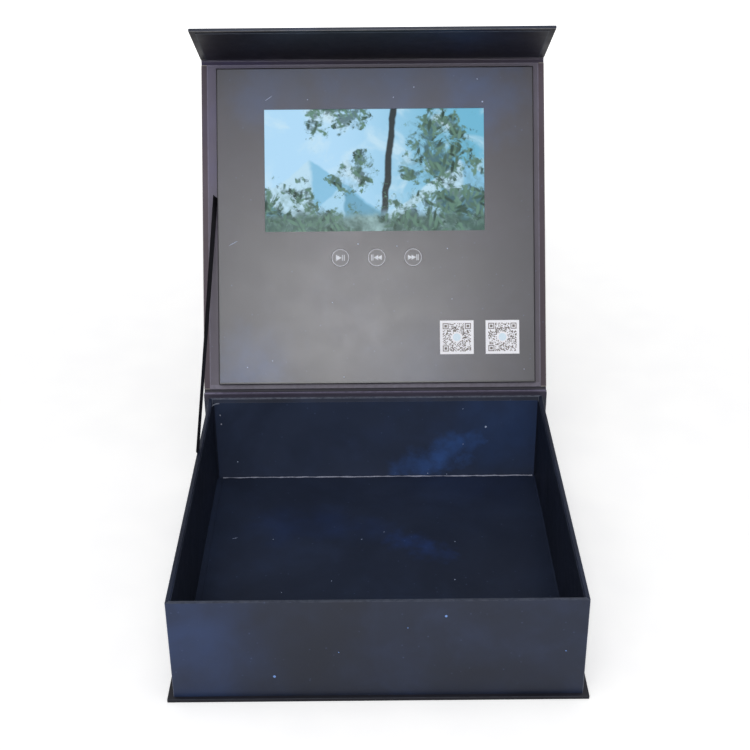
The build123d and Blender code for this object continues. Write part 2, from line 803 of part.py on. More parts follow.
def build_crease_papers():
    """The papers that join lid and flap, folded as photographed."""
    lid_end = lid_fold - crease_gap
    lid_out = hinge + along_lid * lid_end + out_of_lid * (lid_outer - paper)
    flap_out = crease + along_flap * crease_gap + out_of_flap * (flap_outer - paper)
    leave, reach = lid_out + along_lid * hinge_land, flap_out - along_flap * hinge_land
    run = (reach - leave).dot(out_of_flap) / along_lid.dot(out_of_flap)
    corner = leave + along_lid * run
    outer_line = (
        lid_out, leave + (corner - leave) * crease_sharpness,
        reach + (corner - reach) * crease_sharpness, flap_out,
    )
    with BuildPart() as flap_hinge_paper:
        folded_strip(Plane.XY, case_width, [(p.Y, p.Z) for p in outer_line], paper, Side.LEFT)
    save(flap_hinge_paper, "flap_hinge_paper")

    lid_in = hinge + along_lid * lid_end + out_of_lid * lid_face
    flap_in = crease + along_flap * crease_gap
    outwards = (corner - crease).normalized()
    leave_in, reach_in = lid_in + along_lid * hinge_land, flap_in - along_flap * hinge_land
    inner_line = (lid_in, leave_in, crease + outwards * crease_groove, reach_in, flap_in)
    with BuildPart() as flap_hinge_liner:
        folded_strip(
            Plane.XY, case_width - 2 * liner_margin, [(p.Y, p.Z) for p in inner_line], paper,
        )
    save(flap_hinge_liner, "flap_hinge_liner")


# ======================= ribbon stay =======================


def build_ribbon():
    """The satin ribbon from the left wall's rim to the panel's side, pulled taut."""
    wall_x = -tray_width / 2 + paper + board / 2
    panel_x = panel_middle_x - panel_width / 2 - ribbon_panel_gap
    foot = Vector(wall_x, tray_back - ribbon_wall_from_back, rim)
    top = lid.from_local_coords(Vector(panel_x, ribbon_up_lid, (lid_face + panel_face) / 2))
    run = (top - foot).normalized()
    start = foot - run * ribbon_width
    across = Vector(0, 1, 0).cross(run).normalized()
    section = Plane(origin=start, x_dir=across, z_dir=run)
    with BuildPart() as ribbon_stay:
        with BuildSketch(section):
            Rectangle(ribbon_thickness, ribbon_width, rotation=ribbon_turn)
        extrude(amount=(top - start).length)
        split(bisect_by=Plane.XY.offset(rim), keep=Keep.TOP)
    save(ribbon_stay, "ribbon_stay")


build_base()
build_tray()
build_lid()
build_hinge_papers()
build_panel_shell()
build_screen()
build_buttons()
build_main_board()
build_battery()
build_flat_cables()
build_flap()
build_crease_papers()
build_ribbon()
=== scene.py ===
import json
import logging
import math
import random
from collections.abc import Callable, Sequence
from dataclasses import dataclass
from enum import Enum

import bmesh
import bpy
from bmesh.types import BMEdge, BMFace, BMVert
from mathutils import Matrix, Vector


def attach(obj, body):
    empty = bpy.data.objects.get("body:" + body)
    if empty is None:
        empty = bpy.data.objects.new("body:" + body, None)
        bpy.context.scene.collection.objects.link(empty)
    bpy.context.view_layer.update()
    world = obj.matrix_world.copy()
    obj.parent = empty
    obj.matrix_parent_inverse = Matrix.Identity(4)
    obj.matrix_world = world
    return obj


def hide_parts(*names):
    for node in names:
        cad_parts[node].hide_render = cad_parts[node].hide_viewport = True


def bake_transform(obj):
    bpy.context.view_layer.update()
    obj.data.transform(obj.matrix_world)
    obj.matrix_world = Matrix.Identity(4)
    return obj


# A rigid gift box with a video screen in its lid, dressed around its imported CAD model.
# Metres, X right, Y back, Z up, with the origin on the table under the middle of the tray.

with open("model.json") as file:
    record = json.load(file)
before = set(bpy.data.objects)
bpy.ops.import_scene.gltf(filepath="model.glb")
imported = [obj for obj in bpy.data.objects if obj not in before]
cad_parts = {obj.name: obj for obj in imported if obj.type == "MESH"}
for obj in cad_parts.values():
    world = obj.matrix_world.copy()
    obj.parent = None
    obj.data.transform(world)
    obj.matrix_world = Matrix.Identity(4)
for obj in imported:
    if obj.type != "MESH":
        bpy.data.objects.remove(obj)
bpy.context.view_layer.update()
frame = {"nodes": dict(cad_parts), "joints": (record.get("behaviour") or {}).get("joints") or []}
log = logging.getLogger("gift_box")

MM = 0.001
NOTHING = 1e-7  # shorter than any edge, in metres
Triple = Sequence[float]
Colour = tuple[float, float, float, float]
Socket = bpy.types.NodeSocket


def srgb(red: float, green: float, blue: float) -> Colour:
    """Turns a colour from 0 to 255 into the linear one that a shader reads.

    Args:
        red: Red, as a screen shows it.
        green: Green.
        blue: Blue.

    Returns:
        The linear colour with full opacity.
    """
    def linear(value: float) -> float:
        """One channel."""
        share = value / 255
        return share / 12.92 if share <= 0.04045 else ((share + 0.055) / 1.055) ** 2.4

    return (linear(red), linear(green), linear(blue), 1.0)


# ======================= places =======================


@dataclass(frozen=True)
class Leaf:
    """A board's own frame: x to the right, y along the board, z out of its inner face."""

    origin: Vector
    along: Vector
    out: Vector

    @property
    def matrix(self) -> Matrix:
        """The turn and shift from this frame to the scene."""
        turn = Matrix((Vector((1, 0, 0)), self.along, self.out)).transposed()
        return Matrix.Translation(self.origin) @ turn.to_4x4()

    def point(self, x: float, y: float, z: float) -> Vector:
        """A point of this frame, in the scene."""
        return self.matrix @ Vector((x, y, z))

    def box(self, node: str) -> tuple[Vector, Vector]:
        """Finds how far a CAD node reaches along this frame's axes.

        Args:
            node: Name of the CAD node.

        Returns:
            The lowest and the highest corner.
        """
        back = self.matrix.inverted()
        points = [back @ vertex.co for vertex in frame["nodes"][node].data.vertices]
        low = Vector([min(p[i] for p in points) for i in range(3)])
        high = Vector([max(p[i] for p in points) for i in range(3)])
        return low, high


def hinged_leaves() -> tuple[Leaf, Leaf]:
    """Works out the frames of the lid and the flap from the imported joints.

    Returns:
        The lid's frame on its hinge line, and the flap's on the crease.
    """
    joints = {joint["name"]: joint for joint in frame["joints"]}
    rise = math.radians(180 - joints["lid_hinge"]["range_deg"][1])
    along = Vector((0, math.cos(rise), math.sin(rise)))
    out = Vector((0, -math.sin(rise), math.cos(rise)))
    lid = Leaf(Vector(joints["lid_hinge"]["pos_m"]), along, out)
    fold = math.radians(-joints["flap_hinge"]["range_deg"][0])
    flap_along = along * math.cos(fold) + out * math.sin(fold)
    flap_out = out * math.cos(fold) - along * math.sin(fold)
    return lid, Leaf(Vector(joints["flap_hinge"]["pos_m"]), flap_along, flap_out)


TABLE = Leaf(Vector((0, 0, 0)), Vector((0, 1, 0)), Vector((0, 0, 1)))
LID, FLAP = hinged_leaves()


# ======================= material graphs =======================


class Graph:
    """The node graph of a material or the world, with a short call for each node that it uses."""

    def __init__(self, owner: bpy.types.Material | bpy.types.World) -> None:
        """Empties the graph.

        Args:
            owner: The material or the world.
        """
        self.owner = owner
        owner.use_nodes = True
        self.tree = owner.node_tree
        self.tree.nodes.clear()

    def add(self, kind: str, values: dict | None = None, **settings: object) -> bpy.types.Node:
        """Adds a node.

        Args:
            kind: The node's type, without the leading ShaderNode.
            values: Input sockets by name or number, each a value or another node's output.
            settings: The node's own options.

        Returns:
            The node.
        """
        node = self.tree.nodes.new("ShaderNode" + kind)
        for key, setting in settings.items():
            setattr(node, key, setting)
        for key, value in (values or {}).items():
            if isinstance(value, Socket):
                self.tree.links.new(value, node.inputs[key])
            else:
                node.inputs[key].default_value = value
        return node

    def here(self) -> Socket:
        """The place on the piece, in metres."""
        return self.add("TexCoord").outputs["Object"]

    def uv(self, name: str) -> Socket:
        """The piece's own UV map."""
        return self.add("UVMap", uv_map=name).outputs["UV"]

    def turned(self, place: Socket, location: Triple, turn: Triple, scale: Triple) -> Socket:
        """A place that is moved, turned and scaled."""
        values = {"Vector": place, "Location": location, "Rotation": turn, "Scale": scale}
        return self.add("Mapping", values, vector_type="TEXTURE").outputs[0]

    def noise(
        self, place: Socket, scale: float, detail: float = 3, rough: float = 0.5, twist: float = 0,
    ) -> Socket:
        """Cloudy noise, about 0.3 to 0.7."""
        values = {"Vector": place, "Scale": scale, "Detail": detail, "Roughness": rough, "Distortion": twist}
        return self.add("TexNoise", values).outputs[0]

    def strayed(self, place: Socket, scale: float, detail: float, rough: float, reach: Triple) -> Socket:
        """Lets a place wander with noise, by half the reach on average.

        Args:
            place: The place.
            scale: Scale of the noise.
            detail: Its detail.
            rough: Its roughness.
            reach: The most that it wanders, along each axis.

        Returns:
            The strayed place.
        """
        noise = self.add("TexNoise", {"Vector": place, "Scale": scale, "Detail": detail, "Roughness": rough})
        values = {0: noise.outputs["Color"], 1: reach, 2: place}
        return self.add("VectorMath", values, operation="MULTIPLY_ADD").outputs[0]

    def cells(self, place: Socket, scale: float) -> bpy.types.Node:
        """Scattered cells, with a distance and a colour for each."""
        return self.add("TexVoronoi", {"Vector": place, "Scale": scale}, feature="F1")

    def span(self, value: Socket, low: float, high: float, to_low: float = 0, to_high: float = 1) -> Socket:
        """A value taken from one range to another with soft ends."""
        values = {"Value": value, "From Min": low, "From Max": high, "To Min": to_low, "To Max": to_high}
        return self.add("MapRange", values, interpolation_type="SMOOTHSTEP", clamp=True).outputs[0]

    def maths(self, operation: str, first: Socket | float, second: Socket | float = 0.0) -> Socket:
        """Arithmetic on one or two numbers."""
        return self.add("Math", {0: first, 1: second}, operation=operation).outputs[0]

    def mix(
        self, share: Socket | float, first: Socket | Colour, second: Socket | Colour, blend: str = "MIX",
    ) -> Socket:
        """A colour between two others."""
        node = self.add("Mix", {0: share, 6: first, 7: second}, data_type="RGBA", blend_type=blend)
        return node.outputs[2]

    def axis(self, place: Socket, name: str) -> Socket:
        """One coordinate of a place."""
        return self.add("SeparateXYZ", {0: place}).outputs[name]

    def far(self, place: Socket, centre: Triple) -> Socket:
        """The distance from a point."""
        return self.add("VectorMath", {0: place, 1: centre}, operation="DISTANCE").outputs["Value"]

    def bump(
        self, height: Socket, depth: float, strength: float = 1.0, normal: Socket | None = None,
    ) -> Socket:
        """Turns a height into a surface normal.

        Args:
            height: The height, about 0 to 1.
            depth: What a height of 1 stands for, in metres.
            strength: How much of it shows.
            normal: A normal that lies under it, where there is one.

        Returns:
            The normal.
        """
        values: dict = {"Height": height, "Distance": depth, "Strength": strength}
        if normal is not None:
            values["Normal"] = normal
        return self.add("Bump", values).outputs[0]

    def finish(self, values: dict) -> bpy.types.Material:
        """Ends the graph in a surface shader.

        Args:
            values: The shader's sockets by name.

        Returns:
            The material.
        """
        self.add("OutputMaterial", {"Surface": self.add("BsdfPrincipled", values).outputs[0]})
        return self.owner


class Finish:
    """A finish makes its material once, and every piece that has it shares it."""

    made: dict[str, bpy.types.Material] = {}
    name: str

    def material(self) -> bpy.types.Material:
        """Makes the material on the first call.

        Returns:
            The material of this finish.
        """
        if self.name not in Finish.made:
            Finish.made[self.name] = self.build(Graph(bpy.data.materials.new(self.name)))
        return Finish.made[self.name]

    def build(self, graph: Graph) -> bpy.types.Material:
        """Draws the material's graph."""
        raise NotImplementedError(self.name)

    def dress(self, *nodes: str) -> None:
        """Gives this finish to CAD nodes that stay as they are.

        Args:
            nodes: Names of the CAD nodes.
        """
        for node in nodes:
            carried = frame["nodes"][node]
            carried.data.materials.clear()
            carried.data.materials.append(self.material())


@dataclass(frozen=True)
class NightPrint(Finish):
    """Laminated paper printed with a night sky, paler where its folds are rubbed."""

    name: str
    deep: Colour
    base: Colour
    cloud: Colour
    glow: Colour
    glows: tuple[tuple[float, float, float, float, float], ...] = ()
    stray: float = 0.022
    worn: Colour = srgb(150, 156, 172)
    # colour of the painted shade, taken by faces marked in the shade attribute
    fold: Colour = srgb(12, 11, 22)
    rough: float = 0.46
    gloss: float = 0.5
    dust: float = 0.12
    waves: float = 0.5
    smear: float = 0.05

    def build(self, graph: Graph) -> bpy.types.Material:
        """Clouds, glows, star dust, rubbed folds, painted shade and the grain of the film.

        Args:
            graph: The empty graph.

        Returns:
            The material.
        """
        place = graph.here()
        clouds = graph.span(graph.noise(place, 11, 5, 0.55, 0.6), 0.36, 0.66)
        veil = graph.span(graph.noise(place, 34, 5, 0.6, 0.3), 0.42, 0.72, 0, 0.7)
        colour = graph.mix(clouds, self.deep, self.base)
        colour = graph.mix(graph.maths("MULTIPLY", clouds, veil), colour, self.cloud)
        strayed = graph.strayed(place, 46.0, 5.0, 0.62, (2 * self.stray,) * 3)
        glow: Socket | float = 0.0
        for x, y, z, reach, strength in self.glows:
            centre = (x + self.stray, y + self.stray, z + self.stray)
            glow = graph.maths("MAXIMUM", glow, graph.span(graph.far(strayed, centre), 0, reach, strength, 0))
        wisp = graph.span(graph.noise(place, 30, 4, 0.55, 0.4), 0.3, 0.75, 0.45, 1)
        colour = graph.mix(graph.maths("MULTIPLY", glow, wisp), colour, self.glow)
        cell = graph.cells(place, 210)
        spot = graph.span(cell.outputs["Distance"], 0.05, 0.16, 1, 0)
        rare = graph.span(graph.axis(cell.outputs["Color"], "X"), 0.55, 0.98, 0, self.dust)
        colour = graph.mix(graph.maths("MULTIPLY", spot, rare), colour, srgb(120, 140, 190))
        wear = graph.add("Attribute", attribute_name="wear").outputs["Fac"]
        patchy = graph.span(graph.noise(place, 260, 4, 0.7), 0.3, 0.62, 0.35, 1)
        rubbed = graph.maths("MULTIPLY", wear, patchy)
        colour = graph.mix(rubbed, colour, self.worn)
        # painted shade: faces marked in the shade attribute darken towards the fold colour
        colour = graph.mix(graph.add("Attribute", attribute_name="shade").outputs["Fac"], colour, self.fold)
        grain = graph.noise(place, 2600, 3, 0.6)
        film = graph.bump(grain, 0.00004, 0.5)
        swell = graph.bump(graph.noise(place, 17, 2, 0.5), 0.004 * self.waves, 0.35, film)
        handled = graph.noise(place, 55, 4, 0.6)
        rough = graph.span(handled, 0.3, 0.7, self.rough - self.smear, self.rough + self.smear)
        return graph.finish({
            "Base Color": colour, "Roughness": rough, "Specular IOR Level": self.gloss, "Normal": swell,
        })


@dataclass(frozen=True)
class Fibreboard(Finish):
    """Grey pulp board with flecks."""

    name: str
    base: Colour = srgb(150, 146, 138)
    fleck: Colour = srgb(92, 88, 84)

    def build(self, graph: Graph) -> bpy.types.Material:
        """Felted fibres with dark and light flecks.

        Args:
            graph: The empty graph.

        Returns:
            The material.
        """
        place = graph.here()
        felt = graph.noise(place, 420, 6, 0.7, 0.8)
        colour = graph.mix(graph.span(felt, 0.35, 0.7), self.base, srgb(176, 172, 163))
        flecks = graph.span(graph.cells(place, 700).outputs["Distance"], 0.08, 0.2, 0.8, 0)
        colour = graph.mix(flecks, colour, self.fleck)
        return graph.finish({"Base Color": colour, "Roughness": 0.9, "Normal": graph.bump(felt, 0.0002, 0.6)})


@dataclass(frozen=True)
class Moulded(Finish):
    """Moulded plastic with a fine spark-eroded grain."""

    name: str
    base: Colour
    shade: Colour
    rough: float = 0.45

    def build(self, graph: Graph) -> bpy.types.Material:
        """A slight drift of colour and a fine grain.

        Args:
            graph: The empty graph.

        Returns:
            The material.
        """
        place = graph.here()
        drift = graph.span(graph.noise(place, 90, 3), 0.35, 0.65)
        grain = graph.noise(place, 3200, 2)
        colour = graph.mix(drift, self.base, self.shade)
        rough = graph.span(grain, 0.3, 0.7, self.rough - 0.06, self.rough + 0.08)
        normal = graph.bump(grain, 0.00003, 0.5)
        return graph.finish({"Base Color": colour, "Roughness": rough, "Normal": normal})


@dataclass(frozen=True)
class Plated(Finish):
    """Rolled or plated metal with fine brushing along one direction."""

    name: str
    base: Colour
    shade: Colour
    rough: float = 0.3

    def build(self, graph: Graph) -> bpy.types.Material:
        """Brushing, a slight tarnish and pits.

        Args:
            graph: The empty graph.

        Returns:
            The material.
        """
        place = graph.here()
        lines = graph.noise(graph.turned(place, (0, 0, 0), (0, 0, 0), (12, 1, 1)), 1400, 3)
        tarnish = graph.span(graph.noise(place, 120, 4, 0.6), 0.4, 0.7)
        colour = graph.mix(tarnish, self.base, self.shade)
        rough = graph.span(lines, 0.3, 0.7, self.rough - 0.08, self.rough + 0.12)
        normal = graph.bump(lines, 0.00002, 0.5)
        return graph.finish({"Base Color": colour, "Metallic": 1.0, "Roughness": rough, "Normal": normal})


@dataclass(frozen=True)
class CircuitMask(Finish):
    """Green solder mask over copper tracks, with tinned pads."""

    name: str

    def build(self, graph: Graph) -> bpy.types.Material:
        """Tracks as thin lines of a brick pattern, pads as small cells.

        Args:
            graph: The empty graph.

        Returns:
            The material.
        """
        place = graph.turned(graph.here(), (0, 0, 0), (math.radians(62.66), 0, 0), (1, 1, 1))
        tracks = graph.add("TexBrick", {
            "Vector": place, "Scale": 1.0, "Mortar Size": 0.00018, "Mortar Smooth": 0.2,
            "Brick Width": 0.0046, "Row Height": 0.0011,
        }).outputs["Fac"]
        broken = graph.span(graph.noise(place, 120, 2), 0.42, 0.5)
        colour = graph.mix(graph.maths("MULTIPLY", tracks, broken), srgb(18, 70, 42), srgb(52, 122, 70))
        cell = graph.cells(place, 380)
        pads = graph.span(cell.outputs["Distance"], 0.18, 0.22, 1, 0)
        chosen = graph.span(graph.axis(cell.outputs["Color"], "Y"), 0.84, 0.86)
        colour = graph.mix(graph.maths("MULTIPLY", pads, chosen), colour, srgb(205, 205, 200))
        height = graph.maths("ADD", tracks, pads)
        normal = graph.bump(height, 0.00003, 0.6)
        return graph.finish({"Base Color": colour, "Roughness": 0.35, "Normal": normal})


@dataclass(frozen=True)
class PouchFoil(Finish):
    """The heat-sealed foil pouch of a flat battery."""

    name: str

    def build(self, graph: Graph) -> bpy.types.Material:
        """Soft creases over an aluminium film.

        Args:
            graph: The empty graph.

        Returns:
            The material.
        """
        place = graph.here()
        creases = graph.noise(place, 70, 5, 0.6, 1.2)
        weave = graph.cells(place, 1500).outputs["Distance"]
        colour = graph.mix(graph.span(creases, 0.4, 0.6), srgb(172, 176, 182), srgb(198, 200, 204))
        normal = graph.bump(weave, 0.00004, 0.4, graph.bump(creases, 0.0015, 0.5))
        return graph.finish({"Base Color": colour, "Metallic": 0.8, "Roughness": 0.38, "Normal": normal})


@dataclass(frozen=True)
class OpenFoam(Finish):
    """Black foam tape with open pores."""

    name: str

    def build(self, graph: Graph) -> bpy.types.Material:
        """Pores as dark cells.

        Args:
            graph: The empty graph.

        Returns:
            The material.
        """
        pores = graph.cells(graph.here(), 2100).outputs["Distance"]
        colour = graph.mix(graph.span(pores, 0.1, 0.6), srgb(14, 14, 16), srgb(46, 46, 50))
        normal = graph.bump(pores, 0.0002, 0.8)
        return graph.finish({"Base Color": colour, "Roughness": 0.95, "Normal": normal})


@dataclass(frozen=True)
class Sheath(Finish):
    """The soft plastic sheath of a thin lead."""

    name: str
    base: Colour
    shade: Colour

    def build(self, graph: Graph) -> bpy.types.Material:
        """A waxy sheath with faint drawing marks.

        Args:
            graph: The empty graph.

        Returns:
            The material.
        """
        place = graph.here()
        marks = graph.noise(place, 500, 3, 0.6)
        colour = graph.mix(graph.span(marks, 0.35, 0.65), self.base, self.shade)
        normal = graph.bump(marks, 0.00005, 0.5)
        return graph.finish({"Base Color": colour, "Roughness": 0.42, "Normal": normal})


@dataclass(frozen=True)
class SatinWeave(Finish):
    """Woven satin ribbon: long floats across fine ribs, with firm selvedges."""

    name: str
    thread: Colour = srgb(12, 12, 15)
    shine: Colour = srgb(28, 27, 33)

    def build(self, graph: Graph) -> bpy.types.Material:
        """Ribs along the ribbon's length from its own UV map, in metres.

        Args:
            graph: The empty graph.

        Returns:
            The material.
        """
        uv = graph.uv("length")
        waves = {"Vector": uv, "Scale": 900.0, "Distortion": 1.5, "Detail": 2.0}
        ribs = graph.add("TexWave", waves, bands_direction="Y").outputs["Fac"]
        floats = graph.noise(graph.turned(uv, (0, 0, 0), (0, 0, 0), (1, 6, 1)), 1500, 3)
        across = graph.maths("ABSOLUTE", graph.axis(uv, "X"))
        selvedge = graph.span(across, 0.0023, 0.0028)
        colour = graph.mix(floats, self.thread, self.shine)
        colour = graph.mix(graph.maths("MULTIPLY", selvedge, 0.5), colour, srgb(10, 10, 12))
        normal = graph.bump(graph.maths("ADD", ribs, floats), 0.00005, 0.6)
        rough = graph.span(floats, 0.3, 0.7, 0.42, 0.58)
        return graph.finish({
            "Base Color": colour, "Roughness": rough, "Specular IOR Level": 0.25, "Normal": normal,
        })


@dataclass(frozen=True)
class PrintInk(Finish):
    """Opaque printing ink with a slightly uneven lay."""

    name: str
    base: Colour
    shade: Colour

    def build(self, graph: Graph) -> bpy.types.Material:
        """Mottled ink.

        Args:
            graph: The empty graph.

        Returns:
            The material.
        """
        place = graph.here()
        lay = graph.noise(place, 1600, 3, 0.6)
        colour = graph.mix(graph.span(lay, 0.35, 0.65), self.shade, self.base)
        return graph.finish({"Base Color": colour, "Roughness": 0.5, "Normal": graph.bump(lay, 0.00002, 0.4)})


@dataclass(frozen=True)
class MovingPicture(Finish):
    """The lit screen with a made-up, blurred view of a garden under hills."""

    name: str

    def build(self, graph: Graph) -> bpy.types.Material:
        """Sky, hills, a thin trunk and bushes, drawn on the picture's own UV map.

        Args:
            graph: The empty graph.

        Returns:
            The material.
        """
        uv = graph.turned(graph.uv("picture"), (0, 0, 0), (0, 0, 0), (1 / 1.8, 1, 1))
        across, up = graph.axis(uv, "X"), graph.axis(uv, "Y")
        colour = graph.mix(graph.span(across, 0.5, 1.7), srgb(178, 221, 250), srgb(112, 184, 214))
        drift = graph.noise(uv, 3.2, 4, 0.55, 0.4)
        colour = graph.mix(graph.span(drift, 0.48, 0.72), colour, srgb(204, 233, 247))
        bend = graph.maths("MULTIPLY", graph.noise(uv, 4, 3, 0.5), 0.16)
        for shift, step, height, light, dark in (
            (0.16, 0.62, 0.74, srgb(188, 224, 243), srgb(136, 194, 226)),
            (0.47, 0.40, 0.46, srgb(168, 214, 240), srgb(108, 166, 194)),
        ):
            sweep = graph.maths("ADD", graph.maths("ADD", across, shift), bend)
            wave = graph.maths("PINGPONG", sweep, step)
            peak = graph.maths("ADD", graph.maths("MULTIPLY", wave, 0.62 / step * height), height * 0.18)
            inside = graph.span(graph.maths("SUBTRACT", peak, up), -0.008, 0.02)
            face = graph.maths("PINGPONG", graph.maths("ADD", sweep, step * 0.5), step)
            lit_side = graph.mix(graph.span(face, step * 0.46, step * 0.54), dark, light)
            colour = graph.mix(inside, colour, lit_side)
        mist = graph.span(graph.noise(uv, 6, 4, 0.6, 0.3), 0.35, 0.7)
        ground = graph.maths("ADD", up, graph.maths("MULTIPLY", graph.noise(uv, 5, 3), 0.2))
        meadow = graph.span(ground, 0.2, 0.3, 1, 0)
        colour = graph.mix(meadow, colour, graph.mix(mist, srgb(70, 98, 92), srgb(150, 184, 186)))
        colour = self.trunk(graph, across, up, bend, colour)
        colour = self.bushes(graph, uv, colour)
        checks = graph.add("TexChecker", {"Vector": uv, "Scale": 300.0}).outputs["Fac"]
        dots = graph.span(checks, 0, 1, 0.97, 1)
        mask = graph.add("CombineColor", {0: dots, 1: dots, 2: dots}).outputs[0]
        lit = graph.mix(1.0, colour, mask, "MULTIPLY")
        dust = graph.noise(graph.here(), 300, 3)
        return graph.finish({
            "Base Color": (0.01, 0.01, 0.012, 1), "Roughness": graph.span(dust, 0.3, 0.7, 0.1, 0.2),
            "Specular IOR Level": 0.06, "Emission Color": lit, "Emission Strength": 0.97,
        })

    def trunk(self, graph: Graph, across: Socket, up: Socket, bend: Socket, colour: Socket) -> Socket:
        """Lays a thin leaning trunk over the picture.

        Args:
            graph: The picture's graph.
            across: The place across the picture.
            up: The place up the picture.
            bend: How far the trunk strays sideways.
            colour: The picture so far.

        Returns:
            The picture with the trunk.
        """
        lean = graph.maths("ADD", graph.maths("MULTIPLY", up, 0.10), graph.maths("MULTIPLY", bend, 0.4))
        away = graph.maths("ABSOLUTE", graph.maths("SUBTRACT", graph.maths("SUBTRACT", across, lean), 0.93))
        stem = graph.maths("MULTIPLY", graph.span(away, 0.018, 0.034, 1, 0), graph.span(up, 0.1, 0.2))
        return graph.mix(stem, colour, srgb(50, 60, 62))

    def bushes(self, graph: Graph, uv: Socket, colour: Socket) -> Socket:
        """Lays dark bushes with narrow leaves over the picture.

        Args:
            graph: The picture's graph.
            uv: The place on the picture.
            colour: The picture so far.

        Returns:
            The picture with the bushes.
        """
        strayed = graph.strayed(uv, 3.6, 6.0, 0.68, (1.0, 1.0, 0.0))
        crown: Socket | float = 0.0
        for x, y, reach in (
            (1.42, 0.66, 0.38), (1.70, 0.24, 0.44), (1.24, 0.04, 0.34), (0.1, 0.1, 0.38), (0.46, -0.04, 0.3),
            (0.60, 1.04, 0.28), (0.74, 0.42, 0.2),
        ):
            near = graph.span(graph.far(strayed, (x + 0.5, y + 0.5, 0)), reach * 0.3, reach, 1, 0)
            crown = graph.maths("MAXIMUM", crown, near)
        gaps = graph.span(graph.noise(uv, 6, 5, 0.65, 0.5), 0.42, 0.56)
        mass = graph.maths("MULTIPLY", graph.span(crown, 0.35, 0.9), gaps)
        colour = graph.mix(graph.maths("MULTIPLY", mass, 0.8), colour, srgb(54, 80, 74))
        reachable = graph.maths("MULTIPLY", graph.span(crown, 0.05, 0.3), graph.span(gaps, 0, 0.6, 0.15, 1))
        for turn, scale, tone in (
            (0.95, 15, srgb(36, 60, 52)), (0.3, 17, srgb(48, 76, 66)), (-0.5, 16, srgb(30, 52, 46)),
            (-1.05, 18, srgb(92, 128, 112)), (1.4, 16, srgb(38, 62, 54)),
        ):
            leaf = graph.cells(graph.turned(uv, (turn, scale * 0.07, 0), (0, 0, turn), (2.3, 0.62, 1)), scale)
            blade = graph.span(leaf.outputs["Distance"], 0.2, 0.52, 1, 0)
            tint = graph.mix(graph.axis(leaf.outputs["Color"], "X"), tone, srgb(104, 142, 126))
            colour = graph.mix(graph.maths("MULTIPLY", blade, reachable), colour, tint)
        return colour


class Print:
    """The printed papers of this box."""

    outer = NightPrint(
        "outer_night", srgb(17, 24, 41), srgb(21, 31, 53), srgb(31, 43, 71), srgb(34, 54, 94),
        glows=(
            (-0.12, -0.12, 0.035, 0.08, 1.0), (-0.115, -0.12, 0.062, 0.05, 0.8),
            (-0.115, -0.12, 0.01, 0.045, 0.7),
        ),
    )
    rim = NightPrint(
        "rim_night", srgb(20, 26, 42), srgb(25, 33, 52), srgb(34, 44, 68), srgb(34, 54, 94), gloss=0.2,
    )
    base = NightPrint(
        "base_night", srgb(18, 19, 28), srgb(24, 24, 34), srgb(30, 30, 42), srgb(36, 42, 70), gloss=0.3,
    )
    tray = NightPrint(
        "tray_night", srgb(31, 38, 55), srgb(36, 44, 63), srgb(39, 49, 73), srgb(38, 60, 112),
        glows=(
            (0.075, 0.115, 0.03, 0.07, 0.2), (0.013, 0.037, 0.003, 0.013, 0.5),
            (0.022, 0.031, 0.003, 0.015, 0.65), (0.031, 0.024, 0.003, 0.015, 0.65),
            (0.041, 0.018, 0.003, 0.013, 0.5), (-0.004, 0.05, 0.003, 0.022, 0.2),
            (-0.03, 0.054, 0.003, 0.03, 0.35), (-0.062, 0.051, 0.003, 0.03, 0.28),
        ),
        gloss=0.15,
    )
    # a darker copy of the tray print for the lining's side walls: painted shade
    side_wall_painted_shade = NightPrint(
        "side_wall_night", srgb(24, 28, 39), srgb(28, 32, 45), srgb(31, 37, 53), srgb(30, 40, 62), gloss=0.12,
    )
    # a lighter copy of the tray print for the lining's back wall: painted light
    back_wall = NightPrint(
        "back_wall_night_painted_light", srgb(39, 47, 66), srgb(45, 54, 75), srgb(47, 58, 84), srgb(52, 82, 138),
        glows=(
            (0.09, 0.115, 0.045, 0.06, 0.35), (0.02, 0.115, 0.009, 0.015, 0.7),
            (0.032, 0.115, 0.015, 0.018, 0.85), (0.044, 0.115, 0.021, 0.019, 1.0),
            (0.056, 0.115, 0.028, 0.017, 0.85), (0.067, 0.115, 0.034, 0.014, 0.7),
        ),
        gloss=0.15,
    )
    lid = NightPrint(
        "lid_night", srgb(68, 61, 75), srgb(76, 69, 85), srgb(82, 77, 97), srgb(82, 78, 122),
        glows=((-0.115, 0.225, 0.27, 0.14, 0.6),), worn=srgb(150, 146, 172), waves=0.2, smear=0.02,
    )
    # a lighter copy of the lid print for the inner hinge paper: painted light
    hinge = NightPrint(
        "hinge_night_painted_light", srgb(82, 78, 96), srgb(92, 88, 106), srgb(100, 96, 116), srgb(88, 92, 124),
        worn=srgb(150, 146, 172), gloss=0.3, waves=0.2, smear=0.02,
    )
    lid_edge = NightPrint(
        "lid_edge_night", srgb(64, 53, 62), srgb(74, 62, 72), srgb(80, 71, 85), srgb(66, 62, 92),
        glows=((-0.1, 0.2, 0.25, 0.05, 1.0),), worn=srgb(128, 120, 146), waves=0.2, smear=0.02,
    )
    panel = NightPrint(
        "panel_night", srgb(41, 40, 50), srgb(47, 45, 57), srgb(53, 53, 68), srgb(44, 76, 128),
        glows=(
            (0.07, 0.21, 0.26, 0.05, 0.7), (0.0, 0.213, 0.2655, 0.1, 0.5),
            (-0.065, 0.213, 0.2655, 0.055, 0.5), (-0.085, 0.121, 0.088, 0.045, 0.55),
            (0.03, 0.119, 0.084, 0.05, 0.2),
        ),
        rough=0.29, waves=0.03, smear=0.01,
    )
    flap = NightPrint(
        "flap_night", srgb(16, 15, 24), srgb(20, 20, 32), srgb(25, 27, 44), srgb(28, 38, 66),
        glows=((0.06, 0.17, 0.30, 0.05, 1.0),), gloss=0.3, worn=srgb(104, 118, 134),
    )


